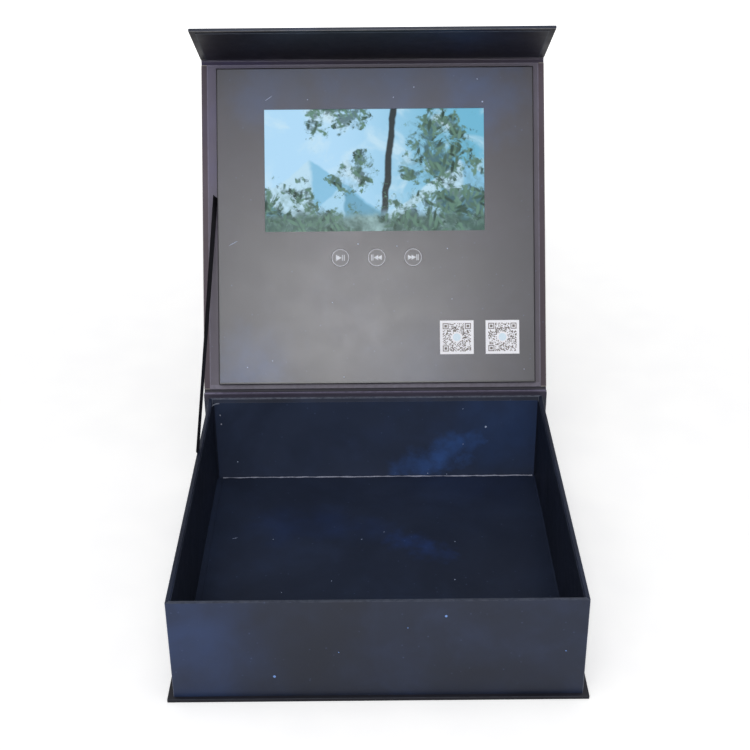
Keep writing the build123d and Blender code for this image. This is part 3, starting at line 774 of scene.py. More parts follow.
class Stuff:
    """The other materials of this box."""

    greyboard = Fibreboard("grey_board")
    spacer = Fibreboard("spacer_board", srgb(158, 148, 130), srgb(104, 94, 80))
    magnet = Plated("nickel_plate", srgb(196, 196, 192), srgb(160, 158, 152), 0.25)
    sheet_metal = Plated("sheet_metal", srgb(180, 184, 188), srgb(146, 150, 156), 0.35)
    connector = Plated("tinned_shell", srgb(188, 190, 190), srgb(152, 152, 150), 0.3)
    backlight = Moulded("diffuser", srgb(226, 230, 232), srgb(210, 216, 220), 0.5)
    chip = Moulded("chip_epoxy", srgb(32, 32, 34), srgb(46, 46, 48), 0.55)
    tongue = Moulded("tongue_plastic", srgb(24, 24, 26), srgb(36, 36, 38), 0.4)
    switch = Moulded("switch_housing", srgb(40, 40, 42), srgb(58, 58, 60), 0.5)
    stem = Moulded("switch_stem", srgb(206, 202, 192), srgb(186, 182, 172), 0.45)
    speaker = Moulded("speaker_cone", srgb(34, 34, 36), srgb(64, 64, 66), 0.6)
    flat_cable = Moulded("flat_cable", srgb(196, 132, 58), srgb(164, 104, 42), 0.35)
    circuit = CircuitMask("circuit_mask")
    battery = PouchFoil("pouch_foil")
    foam = OpenFoam("foam_tape")
    red_lead = Sheath("red_sheath", srgb(176, 30, 26), srgb(142, 22, 20))
    black_lead = Sheath("black_sheath", srgb(24, 24, 26), srgb(38, 38, 42))
    ribbon = SatinWeave("ribbon_satin")
    white_ink = PrintInk("white_ink", srgb(226, 229, 236), srgb(200, 204, 214))
    ring_ink = PrintInk("ring_ink", srgb(208, 210, 218), srgb(188, 190, 200))
    star_ink = PrintInk("star_ink", srgb(190, 204, 232), srgb(150, 166, 204))
    blue_ink = PrintInk("blue_ink", srgb(122, 160, 220), srgb(94, 128, 194))
    code_ground = PrintInk("code_ground", srgb(240, 240, 246), srgb(232, 232, 240))
    code_ink = PrintInk("code_ink", srgb(84, 80, 84), srgb(120, 110, 104))
    code_badge = PrintInk("code_badge", srgb(200, 220, 236), srgb(218, 232, 243))
    paper_core = PrintInk("paper_core", srgb(182, 186, 204), srgb(142, 146, 168))
    picture = MovingPicture("garden_picture")


# ======================= mesh work =======================


class Workpiece:
    """A mesh that is shaped in a leaf's own frame and then set down in the scene."""

    def __init__(self, leaf: Leaf = TABLE) -> None:
        """Starts an empty mesh.

        Args:
            leaf: The frame in which it is shaped.
        """
        self.leaf = leaf
        self.mesh = bmesh.new()
        self.wear = self.mesh.faces.layers.float.new("wear")
        # the shade layer holds how much painted shade each face takes
        self.shade = self.mesh.faces.layers.float.new("shade")

    def slab(self, low: Triple, high: Triple) -> list[BMVert]:
        """Adds a box.

        Args:
            low: Its lowest corner.
            high: Its highest corner.

        Returns:
            Its eight vertices.
        """
        made = bmesh.ops.create_cube(self.mesh, size=1.0)["verts"]
        bmesh.ops.scale(self.mesh, vec=Vector(high) - Vector(low), verts=made)
        bmesh.ops.translate(self.mesh, vec=(Vector(low) + Vector(high)) / 2, verts=made)
        return made

    def edges(self, test: Callable[[Vector, Vector], bool], sharp: float = 0.5) -> list[BMEdge]:
        """Finds folded edges.

        Args:
            test: Says yes from an edge's middle and its unit direction.
            sharp: Least angle between its faces, in radians.

        Returns:
            The edges.
        """
        found = []
        for edge in self.mesh.edges:
            a, b = (vertex.co for vertex in edge.verts)
            folded = (b - a).length > NOTHING and edge.calc_face_angle(0.0) >= sharp
            if folded and test((a + b) / 2, (b - a).normalized()):
                found.append(edge)
        return found

    def round_off(
        self, edges: list[BMEdge], radius: float, segments: int = 2, worn: float = 0.0,
    ) -> list[BMFace]:
        """Bevels edges, and marks the new faces as rubbed.

        Args:
            edges: The edges.
            radius: Width of the bevel on each side.
            segments: Faces across it.
            worn: How pale the rubbed paper is, from 0 to 1.

        Returns:
            The new faces.
        """
        faces = bmesh.ops.bevel(
            self.mesh, geom=edges, offset=radius, offset_type="OFFSET", segments=segments,
            profile=0.5, affect="EDGES", material=-1, clamp_overlap=True,
        )["faces"]
        for face in faces:
            face[self.wear] = max(face[self.wear], worn)
        return faces

    def cut(self, point: Triple, normal: Triple) -> None:
        """Cuts every face along a plane, and keeps both sides."""
        whole = self.mesh.verts[:] + self.mesh.edges[:] + self.mesh.faces[:]
        bmesh.ops.bisect_plane(self.mesh, geom=whole, dist=NOTHING, plane_co=point, plane_no=normal)

    def faces(self, test: Callable[[Vector, Vector], bool]) -> list[BMFace]:
        """The faces for which the test says yes from their centre and normal."""
        self.mesh.normal_update()
        return [f for f in self.mesh.faces if test(f.calc_center_median(), f.normal)]

    def frame_in(self, faces: list[BMFace], width: float, worn: float = 0.0, dark: float = 0.0) -> None:
        """Marks a narrow border round some faces as rubbed, or dark with painted shade.

        Args:
            faces: The faces.
            width: Width of the border.
            worn: How pale it is, from 0 to 1.
            dark: How much painted shade it takes, from 0 to 1.
        """
        border = bmesh.ops.inset_region(self.mesh, faces=faces, thickness=width, use_even_offset=True)
        for face in border["faces"]:
            face[self.wear], face[self.shade] = worn, dark

    def open_up(self, faces: list[BMFace]) -> list[BMEdge]:
        """Takes faces out.

        Args:
            faces: The faces.

        Returns:
            The edges round the opening.
        """
        gone = set(faces)
        border = [e for f in faces for e in f.edges if any(other not in gone for other in e.link_faces)]
        bmesh.ops.delete(self.mesh, geom=faces, context="FACES_ONLY")
        inner = [e for e in self.mesh.edges if not e.link_faces]
        bmesh.ops.delete(self.mesh, geom=inner, context="EDGES")
        return [e for e in dict.fromkeys(border) if e.is_valid]

    def draw_out(self, edges: list[BMEdge], way: Triple) -> list[BMEdge]:
        """Extrudes edges.

        Args:
            edges: The edges.
            way: How far, in the leaf's frame.

        Returns:
            The edges at the far side.
        """
        made = bmesh.ops.extrude_edge_only(self.mesh, edges=edges)["geom"]
        bmesh.ops.translate(self.mesh, vec=way, verts=[g for g in made if isinstance(g, BMVert)])
        return [g for g in made if isinstance(g, BMEdge)]

    def thicken(self, thickness: float) -> None:
        """Gives an open sheet a wall on its inner side, with every face outwards."""
        bmesh.ops.recalc_face_normals(self.mesh, faces=self.mesh.faces[:])
        bmesh.ops.solidify(self.mesh, geom=self.mesh.faces[:], thickness=thickness)

    def disc(self, centre: Triple, radius: float, sides: int, start: float = 0.0) -> list[BMVert]:
        """Adds a flat filled polygon, facing out of the leaf.

        Args:
            centre: Its middle.
            radius: Middle to corner.
            sides: How many sides it has.
            start: Turn of its first corner, in radians.

        Returns:
            Its corners.
        """
        place = Matrix.Translation(centre) @ Matrix.Rotation(start, 4, "Z")
        made = bmesh.ops.create_circle(self.mesh, cap_ends=True, segments=sides, radius=radius, matrix=place)
        return made["verts"]

    def raise_up(self, height: float) -> None:
        """Turns flat printed shapes into a thin layer of ink with sides.

        Args:
            height: Thickness of the ink.
        """
        flat = self.mesh.faces[:]
        for face in flat:
            if face.normal.z < 0:
                face.normal_flip()
        made = bmesh.ops.extrude_face_region(self.mesh, geom=flat, use_keep_orig=True)["geom"]
        bmesh.ops.translate(self.mesh, vec=(0, 0, height), verts=[g for g in made if isinstance(g, BMVert)])
        bmesh.ops.recalc_face_normals(self.mesh, faces=self.mesh.faces[:])

    def set_down(
        self, name: str, body: str | None, finish: Finish,
        stands_for: Sequence[str] = (), more: Sequence[Finish] = (), smooth: float = 40.0,
    ) -> bpy.types.Object:
        """Makes the mesh an object of the scene, in its place.

        Args:
            name: Name of the piece.
            body: The CAD body that it moves with, or None where it bends between two.
            finish: Its finish.
            stands_for: CAD nodes that it replaces.
            more: Further finishes, for faces with a higher material index.
            smooth: Greatest angle between faces that shade as one, in degrees.

        Returns:
            The object.
        """
        bmesh.ops.transform(self.mesh, matrix=self.leaf.matrix, verts=self.mesh.verts[:])
        for face in self.mesh.faces:
            face.smooth = True
        data = bpy.data.meshes.new(name)
        self.mesh.to_mesh(data)
        self.mesh.free()
        data.set_sharp_from_angle(angle=math.radians(smooth))
        for each in (finish, *more):
            data.materials.append(each.material())
        piece = bpy.data.objects.new(name, data)
        bpy.context.scene.collection.objects.link(piece)
        if body is not None:
            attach(piece, body)
        if stands_for:
            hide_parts(*stands_for)
        log.info("%s: %d faces", name, len(data.polygons))
        return piece


def anywhere(middle: Vector, way: Vector) -> bool:
    """Says yes to every edge or face."""
    return True


@dataclass
class WrappedBoard:
    """A board wrapped in printed paper, closed, with softly rounded and rubbed edges."""

    name: str
    body: str
    leaf: Leaf
    low: Vector
    high: Vector
    finish: Finish
    slot: str
    stands_for: tuple[str, ...]
    radius: float = 0.35 * MM
    worn: float = 0.55
    turned_in: Finish | None = None

    def build(self) -> bpy.types.Object:
        """Makes the board.

        Returns:
            The piece.
        """
        work = Workpiece(self.leaf)
        work.slab(self.low, self.high)
        work.round_off(work.edges(anywhere), self.radius, 2, self.worn)
        if self.turned_in is not None:
            for face in work.faces(lambda m, n: n.z > 0.5):
                face.material_index = 1
        more = (self.turned_in,) if self.turned_in is not None else ()
        return work.set_down(self.name, self.body, self.finish, self.stands_for, more)


# ======================= case =======================


@dataclass
class Case:
    """The base under the tray and the spine behind it."""

    edge_radius: float = 0.35 * MM
    foot_radius: float = 2.1 * MM
    base_worn: float = 0.06
    spine_worn: float = 0.6

    def build(self) -> None:
        """Builds the base and the spine, and dresses their boards."""
        low, high = TABLE.box("base_wrap")
        WrappedBoard(
            "wrapped_base", "box", TABLE, low, high, Print.base, "outer_print", ("base_wrap",),
            worn=self.base_worn,
        ).build()
        self.spine()
        Stuff.greyboard.dress("base_board", "spine_board")

    def spine(self) -> None:
        """The spine, rounded at its foot, where the paper comes up from the base."""
        low, high = TABLE.box("spine_wrap")
        work = Workpiece()
        work.slab(low, high)
        foot = work.edges(lambda m, w: abs(w.x) > 0.9 and m.z < low.z + MM and m.y > high.y - MM)
        work.round_off(foot, self.foot_radius, 6)
        work.round_off(work.edges(anywhere), self.edge_radius, 2, self.spine_worn)
        work.set_down("wrapped_spine", "box", Print.outer, ("spine_wrap",))


# ======================= tray =======================


@dataclass
class Tray:
    """The open tray: wrapped walls, the paper that lines them, and the printed floor."""

    wall: float = 2.3 * MM
    band: float = 3.0 * MM
    floor_gap_left: float = 4.2 * MM
    floor_gap_right: float = 1.9 * MM
    floor_gap_back: float = 1.4 * MM
    floor_sheet: float = 0.4 * MM
    torn: float = 1.3 * MM
    edge_radius: float = 0.35 * MM
    corner_worn: float = 0.35
    edge_worn: float = 0.1
    rim_worn: float = 0.4
    front_rim_worn: float = 0.14
    left_bulge: float = 5.0 * MM
    right_bulge: float = 2.6 * MM
    front_bulge: float = 1.2 * MM
    foot_bulge: float = 0.4 * MM
    paper: float = 0.15 * MM
    rubbed_band: float = 0.9 * MM
    lining_worn: float = 0.45
    bulge_worn: float = 0.9
    card_lift: float = 0.2 * MM
    card_steps: int = 90
    back_jitter: float = 0.35
    torn_jitter: float = 0.28

    def build(self) -> None:
        """Builds the tray, and dresses its boards and magnets."""
        self.low, self.high = TABLE.box("tray_wrap")
        self.floor = TABLE.box("tray_liner")[0].z
        self.walls()
        self.lining()
        self.floor_paper()
        self.prints()
        Stuff.greyboard.dress(
            "tray_floor_board", "tray_front_board", "tray_back_board", "tray_left_board", "tray_right_board",
        )
        Stuff.magnet.dress("tray_magnets")

    def walls(self) -> None:
        """The four wrapped walls as one shell, with a rubbed rim."""
        work = Workpiece()
        work.slab(self.low, self.high)
        top = work.faces(lambda m, n: n.z > 0.9)
        bmesh.ops.inset_region(work.mesh, faces=top, thickness=self.wall, use_even_offset=True)
        sunk = bmesh.ops.extrude_discrete_faces(work.mesh, faces=top)["faces"]
        bmesh.ops.translate(
            work.mesh, vec=(0, 0, self.floor - self.high.z), verts=list({v for f in sunk for v in f.verts}),
        )
        work.round_off(work.edges(lambda m, w: abs(w.z) > 0.9), self.edge_radius, 2, self.corner_worn)
        rim = work.edges(lambda m, w: m.z > self.high.z - 0.1 * MM)
        work.round_off(rim, self.edge_radius, 2, self.edge_worn)
        for face in work.faces(lambda m, n: n.z > 0.3 and m.z > self.high.z - MM):
            middle = face.calc_center_median()
            if middle.y < self.low.y + self.wall:
                face[work.wear] = self.front_rim_worn
            elif abs(middle.x) > self.high.x - 0.3 * MM or middle.y > self.high.y - self.wall - 0.3 * MM:
                face[work.wear] = self.rim_worn
            face.material_index = 1
        work.set_down("tray_shell", "box", Print.outer, ("tray_wrap",), (Print.rim,))

    def lining(self) -> None:
        """The paper inside the walls, which bulges a little where it turns the corners, with its back wall
        lighter as painted light and its side walls darker as painted shade.
        """
        inset = self.wall - 0.05 * MM
        low = Vector((self.low.x + inset, self.low.y + inset, self.floor + 0.02 * MM))
        high = Vector((self.high.x - inset, self.high.y - inset, self.high.z - self.band))
        work = Workpiece()
        work.slab(low, high)
        work.open_up(work.faces(lambda m, n: n.z > 0.9))
        work.round_off(work.edges(lambda m, w: abs(w.z) > 0.9 and m.y > 0 and m.x < 0), self.left_bulge, 8)
        work.round_off(work.edges(lambda m, w: abs(w.z) > 0.9 and m.y > 0 and m.x > 0.1), self.right_bulge, 6)
        work.round_off(work.edges(lambda m, w: abs(w.z) > 0.9 and m.y < 0), self.front_bulge, 3)
        work.round_off(work.edges(lambda m, w: m.z < low.z + 0.1 * MM), self.foot_bulge, 2)
        work.thicken(self.paper)
        band = high.z - self.rubbed_band
        work.cut((0, 0, band), (0, 0, 1))
        for face in work.faces(lambda m, n: m.z > high.z - 0.01 * MM):
            face[work.wear] = self.lining_worn
        left, back = low.x + self.left_bulge, high.y - self.left_bulge
        for face in work.faces(lambda m, n: m.z > band and m.x < left and m.y > back):
            face[work.wear] = self.bulge_worn
        # the back wall takes a lighter copy of the print as painted light, and the side walls a darker copy
        # as painted shade
        for face in work.faces(lambda m, n: n.y < -0.4 and m.y > 0):
            face.material_index = 1
        for face in work.faces(lambda m, n: abs(n.x) > 0.75):
            face.material_index = 2
        finishes = (Print.back_wall, Print.side_wall_painted_shade)
        work.set_down("tray_lining", "box", Print.tray, ("tray_liner",), finishes)

    def floor_paper(self) -> None:
        """The printed card on the floor, with its rough cut edge at the back."""
        foot = self.floor + self.card_lift
        low = Vector((self.low.x + self.wall + self.floor_gap_left, self.low.y + self.wall + MM, foot))
        high = Vector((
            self.high.x - self.wall - self.floor_gap_right, self.high.y - self.wall - self.floor_gap_back,
            foot + self.floor_sheet,
        ))
        work = Workpiece()
        work.slab(low, high)
        torn = high.y - self.torn
        work.cut((0, torn, 0), (0, 1, 0))
        for step in range(1, self.card_steps):
            work.cut((low.x + (high.x - low.x) * step / self.card_steps, 0, 0), (1, 0, 0))
        chance = random.Random(7)
        shifts: dict[int, float] = {}
        for vertex in work.mesh.verts:
            if vertex.co.y > high.y - 0.1 * MM:
                key = round(vertex.co.x / MM * 10)
                shifts.setdefault(key, chance.uniform(-self.back_jitter, self.back_jitter) * MM)
                vertex.co.y += shifts[key]
        drift = 0.0
        edge = [v for v in work.mesh.verts if abs(v.co.y - torn) < NOTHING]
        for vertex in sorted(edge, key=lambda v: (v.co.x, v.co.z)):
            drift = 0.8 * drift + chance.uniform(-self.torn_jitter, self.torn_jitter) * MM
            vertex.co.y += drift
        for face in work.faces(lambda m, n: m.y > torn - 0.1 * MM):
            face.material_index = 1
        work.set_down("floor_card", "box", Print.tray, more=(Stuff.paper_core,), smooth=5)

    def prints(self) -> None:
        """The brighter stars, and the specks where the lining is rubbed in its left corner."""
        up, front = Vector((0, 0, 1)), Vector((0, -1, 0))
        inner = self.high.y - self.wall - 0.1 * MM
        back_wall = Leaf(Vector((0, inner, 0)), up, front)
        StarPrint(
            "back_wall_stars", "box", back_wall,
            (
                (61.9, 59.4, 0.35), (78.5, 44.6, 0.75), (62.6, 30.4, 0.3), (-99.9, 17.2, 0.45),
                (51.3, 5.2, 0.35), (37.5, 6.0, 0.3),
            ),
            0.01 * MM, Stuff.star_ink, "tray_print",
        ).build()
        StarPrint(
            "rubbed_corner", "box", back_wall,
            (
                (-111.6, 65.2, 0.4), (-111.2, 61.6, 0.55), (-110.9, 59.6, 0.35), (-110.4, 55.9, 0.6),
                (-109.8, 48.6, 0.55),
            ),
            0.01 * MM, Stuff.paper_core, "tray_print",
        ).build()
        StarPrint(
            "front_stars", "box", Leaf(Vector((0, self.low.y, 0)), up, front),
            ((-59, 16.5, 0.85), (38, 58.4, 0.8), (-22.1, 33.6, 0.35), (16.8, 50.4, 0.35), (105.9, 33.3, 0.4)),
            0.0, Stuff.blue_ink, "outer_print",
        ).build()
        StarPrint(
            "floor_stars", "box", TABLE,
            (
                (50, -11.9, 0.4), (-29.3, -12.2, 0.35), (-69.8, 35.0, 0.35), (-10.1, 34.1, 0.35),
                (5.0, 42.6, 0.3), (52.5, 30.5, 0.35), (-60.8, -23.8, 0.25),
            ),
            self.floor + self.card_lift + self.floor_sheet, Stuff.star_ink, "tray_print",
            ((-95.8, 36.6, 4.0, 20),),
        ).build()


# ======================= lid and flap =======================


@dataclass
class LinedLeaf:
    """A wrapped board with an inner paper that leaves a narrow frame of the wrap in view."""

    name: str
    body: str
    leaf: Leaf
    wrap_finish: Finish
    liner_finish: Finish
    wrap_slot: str
    liner_slot: str
    border: float = 0.2
    side_border: float = 0.2
    rubbed: float = 0.3
    turned_in: Finish | None = None
    pale_foot: float = 0.0
    foot_paleness: float = 0.2
    border_width: float = 0.7 * MM

    def build(self) -> None:
        """Builds the wrapped board and its inner paper, and dresses the board."""
        low, high = self.leaf.box(f"{self.name}_wrap")
        inner_low, inner_high = self.leaf.box(f"{self.name}_liner")
        high.z = min(high.z, inner_low.z + 0.01 * MM)
        WrappedBoard(
            f"wrapped_{self.name}", self.body, self.leaf, low, high, self.wrap_finish, self.wrap_slot,
            (f"{self.name}_wrap",), worn=self.rubbed, turned_in=self.turned_in,
        ).build()
        work = Workpiece(self.leaf)
        work.slab(inner_low, inner_high)
        work.frame_in(work.faces(lambda m, n: n.z > 0.9), self.border_width, self.side_border)
        end = inner_high.y - self.border_width + 0.1 * MM
        for face in work.faces(lambda m, n: n.z > 0.9 and m.y > end):
            face[work.wear] = self.border
        # a paler strip along the foot of the inner paper, between its foot and the panel
        if self.pale_foot > 0:
            work.cut((0, inner_low.y + self.pale_foot, 0), (0, 1, 0))
            for face in work.faces(lambda m, n: n.z > 0.9 and m.y < inner_low.y + self.pale_foot):
                face[work.wear] = self.foot_paleness
        work.set_down(
            f"{self.name}_inner_paper", self.body, self.liner_finish,
            (f"{self.name}_liner",),
        )
        Stuff.greyboard.dress(f"{self.name}_board")


@dataclass
class PaperHinges:
    """The folded papers between spine and lid, and between lid and flap."""

    paper: float = 0.15 * MM
    steps: int = 10
    inset: float = 0.4 * MM
    crest: float = 1.2 * MM
    back_rise: float = 0.4 * MM
    groove: float = 0.9 * MM
    outer_slack: float = 0.6 * MM
    crease_groove: float = 1.3 * MM
    crease_slack: float = 2.4 * MM

    def build(self) -> None:
        """Builds the four papers."""
        self.low, self.high = LID.box("lid_wrap")
        self.inner_reach = (self.low.x + self.inset, self.high.x - self.inset)
        self.outer_reach = (self.low.x, self.high.x)
        self.hinge()
        self.crease()

    def hinge(self) -> None:
        """The two papers between the spine and the lid."""
        spine_low, spine_high = TABLE.box("spine_wrap")
        edge = Vector((0, spine_high.y, spine_high.z))
        liner_low, liner_high = LID.box("lid_liner")
        inner = LID.point(0, liner_low.y, liner_high.z)
        outer = LID.point(0, self.low.y, self.low.z)
        across = (outer - edge).normalized()
        down = Vector((0, across.z, -across.y))
        foot = Vector((0, spine_low.y, TABLE.box("lid_hinge_liner")[0].z))
        crest = Vector((0, spine_low.y, edge.z + self.paper))
        back = Vector((0, edge.y, edge.z + self.back_rise))
        self.strip(
            "lid_hinge_inner_paper", "lid_hinge_liner", self.inner_reach,
            [
                foot, crest, crest + Vector((0, self.crest, 0)), back,
                (back + inner) / 2 + down * self.groove, inner,
            ],
            ("box", "lid"), crest, inner, Print.hinge, "inner_print", (2, 4),
            # bands: painted shadow on the drop in front of the spine, a rubbed fold at the spine's back edge,
            # painted shadow in the groove
            (
                (0.0, spine_low.y + 0.1 * MM, 0.0, 0.6), (back.y - 0.9 * MM, back.y - 0.2 * MM, 0.7, 0.0),
                (back.y + 0.3 * MM, back.y + 20 * MM, 0.0, 0.85),
            ),
        )
        self.strip(
            "lid_hinge_outer_paper", "lid_hinge_paper", self.outer_reach,
            [
                edge + Vector((0, -0.4 * MM, 0.1 * MM)), edge,
                (edge + outer) / 2 + down * (self.groove + self.outer_slack), outer,
            ],
            ("box", "lid"), edge, outer, Print.outer, "outer_print", (1, 2),
        )

    def crease(self) -> None:
        """The two papers between the lid and the flap."""
        liner_high = LID.box("lid_liner")[1]
        flap_low = FLAP.box("flap_wrap")[0]
        flap_liner_low, flap_liner_high = FLAP.box("flap_liner")
        start = LID.point(0, liner_high.y, liner_high.z)
        end = FLAP.point(0, flap_liner_low.y, flap_liner_high.z)
        sunk = FLAP.origin - (LID.out + FLAP.out).normalized() * self.crease_groove
        self.strip(
            "crease_inner_paper", "flap_hinge_liner", self.inner_reach, [start, sunk, end],
            # the whole paper takes painted shade, as it lies in the crease under the flap
            ("lid", "flap"), start, end, Print.lid, "inner_print", (1,), ((0.0, 1.0, 0.0, 0.3),),
        )
        start = LID.point(0, self.high.y, self.low.z)
        end = FLAP.point(0, flap_low.y, flap_low.z)
        bend = (start + end) / 2 + (LID.along - FLAP.along).normalized() * self.crease_slack
        self.strip(
            "crease_outer_paper", "flap_hinge_paper", self.outer_reach, [start, bend, end],
            ("lid", "flap"), start, end, Print.outer, "outer_print", (1,),
        )

    def strip(
        self, name: str, node: str, reach: tuple[float, float], points: list[Vector],
        bodies: tuple[str, str], start: Vector, end: Vector, finish: Finish, slot: str,
        soft: tuple[int, ...], marks: tuple[tuple[float, float, float, float], ...] = (),
    ) -> None:
        """Makes one folded paper across the box, between two bodies.

        Args:
            name: Name of the piece.
            node: The CAD node that it replaces.
            reach: Its left and right end.
            points: Its folds, seen from the side.
            bodies: The bodies that it joins; not used.
            start: Where it leaves the first body; not used.
            end: Where it reaches the second body; not used.
            finish: Its finish.
            slot: The record's material slot; not used.
            soft: Numbers of the points at which it curves instead of folding.
            marks: Bands from one y to another that are rubbed and that take painted shade, each from 0 to 1.
        """
        line = [points[0]]
        for i in range(1, len(points) - 1):
            if i in soft:
                before, here, after = points[i - 1], points[i], points[i + 1]
                first, last = here.lerp(before, 0.48), here.lerp(after, 0.48)
                for step in range(self.steps + 1):
                    t = step / self.steps
                    line.append(first.lerp(here, t).lerp(here.lerp(last, t), t))
            else:
                line.append(points[i])
        line.append(points[-1])
        work = Workpiece()
        chain = [work.mesh.verts.new((reach[0], p.y, p.z)) for p in line]
        run = [work.mesh.edges.new(pair) for pair in zip(chain, chain[1:])]
        work.draw_out(run, (reach[1] - reach[0], 0, 0))
        work.thicken(self.paper)
        # each band sets how rubbed its faces are and how much painted shade they take
        for front, rear, worn, dark in marks:
            for face in work.faces(lambda m, n: front < m.y < rear):
                face[work.wear], face[work.shade] = worn, dark
        piece = work.set_down(name, None, finish, (node,))
        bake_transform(piece)


# ======================= screen panel =======================


@dataclass
class ScreenPanel:
    """The raised panel in the lid: a printed paper over boards, with a window, key holes and a port."""

    paper: float = 0.15 * MM
    window_return: float = 1.6 * MM
    hole_radius: float = 6.44 * MM
    hole_return: float = 1.3 * MM
    hole_square: float = 7.6 * MM
    hole_sides: int = 48
    reveal: float = 0.1 * MM
    edge_radius: float = 0.45 * MM
    # painted shadow along the panel's foot, and painted shade round its border and on its rounded edges
    foot_strip: float = 1.7 * MM
    foot_shade: float = 0.9
    border: float = 0.9 * MM
    border_shade: float = 0.95
    port_from_hinge: float = 48.9 * MM
    port_width: float = 10.0 * MM
    port_top: float = 4.95 * MM

    def build(self, keys: list[Vector], window: tuple[Vector, Vector]) -> None:
        """Builds the printed cover, and dresses the boards under it.

        Args:
            keys: The middles of the three keys, in the lid's frame.
            window: Lowest and highest corner of the window, in the lid's frame.
        """
        low, high = LID.box("panel_face_wrap")
        self.top = high.z
        work = Workpiece(LID)
        work.slab(low, high)
        work.open_up(work.faces(lambda m, n: n.z < -0.9))
        # painted shadow on the strip along the panel's foot
        strip = low.y + self.foot_strip
        work.cut((0, strip, 0), (0, 1, 0))
        for face in work.faces(lambda m, n: n.z > 0.9 and m.y < strip):
            face[work.shade] = self.foot_shade
        # painted shade in a narrow border round the face
        work.frame_in(work.faces(lambda m, n: n.z > 0.9), self.border, 0, self.border_shade)
        # the rounded top edges take full painted shade
        for face in work.round_off(work.edges(lambda m, w: m.z > low.z + MM), self.edge_radius, 2):
            face[work.shade] = 1.0
        self.window(work, window)
        for centre in keys:
            self.key_hole(work, centre)
        self.port(work)
        work.thicken(self.paper)
        work.set_down("panel_cover", "lid", Print.panel, ("panel_face_wrap",))
        Stuff.spacer.dress(*(f"panel_{side}_spacer" for side in ("top", "bottom", "left", "right")))
        Stuff.greyboard.dress("panel_face_board")

    def window(self, work: Workpiece, window: tuple[Vector, Vector]) -> None:
        """Opens the window and folds its paper in round the edge of the board.

        Args:
            work: The cover.
            window: Lowest and highest corner of the window.
        """
        low, high = (window[0] + Vector((1, 1, 0)) * self.reveal, window[1] - Vector((1, 1, 0)) * self.reveal)
        for corner, way in ((low, (1, 0, 0)), (high, (1, 0, 0)), (low, (0, 1, 0)), (high, (0, 1, 0))):
            work.cut(corner, way)
        inside = work.faces(
            lambda m, n: n.z > 0.9 and m.z > self.top - 0.1 * MM
            and low.x < m.x < high.x and low.y < m.y < high.y
        )
        work.draw_out(work.open_up(inside), (0, 0, -self.window_return))

    def key_hole(self, work: Workpiece, centre: Vector) -> None:
        """Opens one round hole, as a square whose border is drawn in to a circle.

        Args:
            work: The cover.
            centre: Middle of the hole.
        """
        half = self.hole_square
        for sign in (-1, 1):
            work.cut((centre.x + sign * half, centre.y, 0), (1, 0, 0))
            work.cut((centre.x, centre.y + sign * half, 0), (0, 1, 0))
        inside = work.faces(
            lambda m, n: n.z > 0.9 and m.z > self.top - 0.1 * MM
            and abs(m.x - centre.x) < half and abs(m.y - centre.y) < half
        )
        border = work.open_up(inside)
        bmesh.ops.subdivide_edges(work.mesh, edges=border, cuts=self.hole_sides // len(border) - 1)
        square = [
            e for e in work.mesh.edges if len(e.link_faces) == 1
            and max(abs(v.co.x - centre.x) for v in e.verts) < half + 1e-6
            and max(abs(v.co.y - centre.y) for v in e.verts) < half + 1e-6
            and min(v.co.z for v in e.verts) > self.top - 0.1 * MM
        ]
        circle = work.draw_out(square, (0, 0, 0))
        for vertex in {v for e in circle for v in e.verts}:
            away = Vector((vertex.co.x - centre.x, vertex.co.y - centre.y, 0)).normalized() * self.hole_radius
            vertex.co = Vector((centre.x, centre.y, self.top)) + away
        work.draw_out(circle, (0, 0, -self.hole_return))

    def port(self, work: Workpiece) -> None:
        """Opens the notch for the charging port in the right side.

        Args:
            work: The cover.
        """
        half = self.port_width / 2
        work.cut((0, self.port_from_hinge - half, 0), (0, 1, 0))
        work.cut((0, self.port_from_hinge + half, 0), (0, 1, 0))
        work.cut((0, 0, self.port_top), (0, 0, 1))
        work.open_up(work.faces(
            lambda m, n: n.x > 0.9 and m.z < self.port_top and abs(m.y - self.port_from_hinge) < half
        ))


@dataclass
class Screen:
    """The display module behind the window."""

    def build(self, window: tuple[Vector, Vector]) -> None:
        """Builds the glass with its picture, and dresses the rest of the module.

        Args:
            window: Lowest and highest corner of the picture, in the lid's frame.
        """
        low, high = LID.box("screen_glass")
        work = Workpiece(LID)
        work.slab(low, high)
        work.round_off(work.edges(anywhere), 0.15 * MM, 1)
        layer = work.mesh.loops.layers.uv.new("picture")
        size = window[1] - window[0]
        for face in work.mesh.faces:
            for loop in face.loops:
                spot = loop.vert.co - window[0]
                loop[layer].uv = (spot.x / size.x, spot.y / size.y)
        work.set_down("picture_glass", "lid", Stuff.picture, ("screen_glass",))
        Stuff.sheet_metal.dress("screen_frame")
        Stuff.backlight.dress("screen_backlight")
        Stuff.foam.dress("screen_gasket", "mounting_tapes")
        Stuff.flat_cable.dress("screen_flex", "button_cable")


# ======================= keys =======================


class Symbol(Enum):
    """What is printed on a key."""

    PLAY = "play"
    BACK = "back"
    FORWARD = "forward"


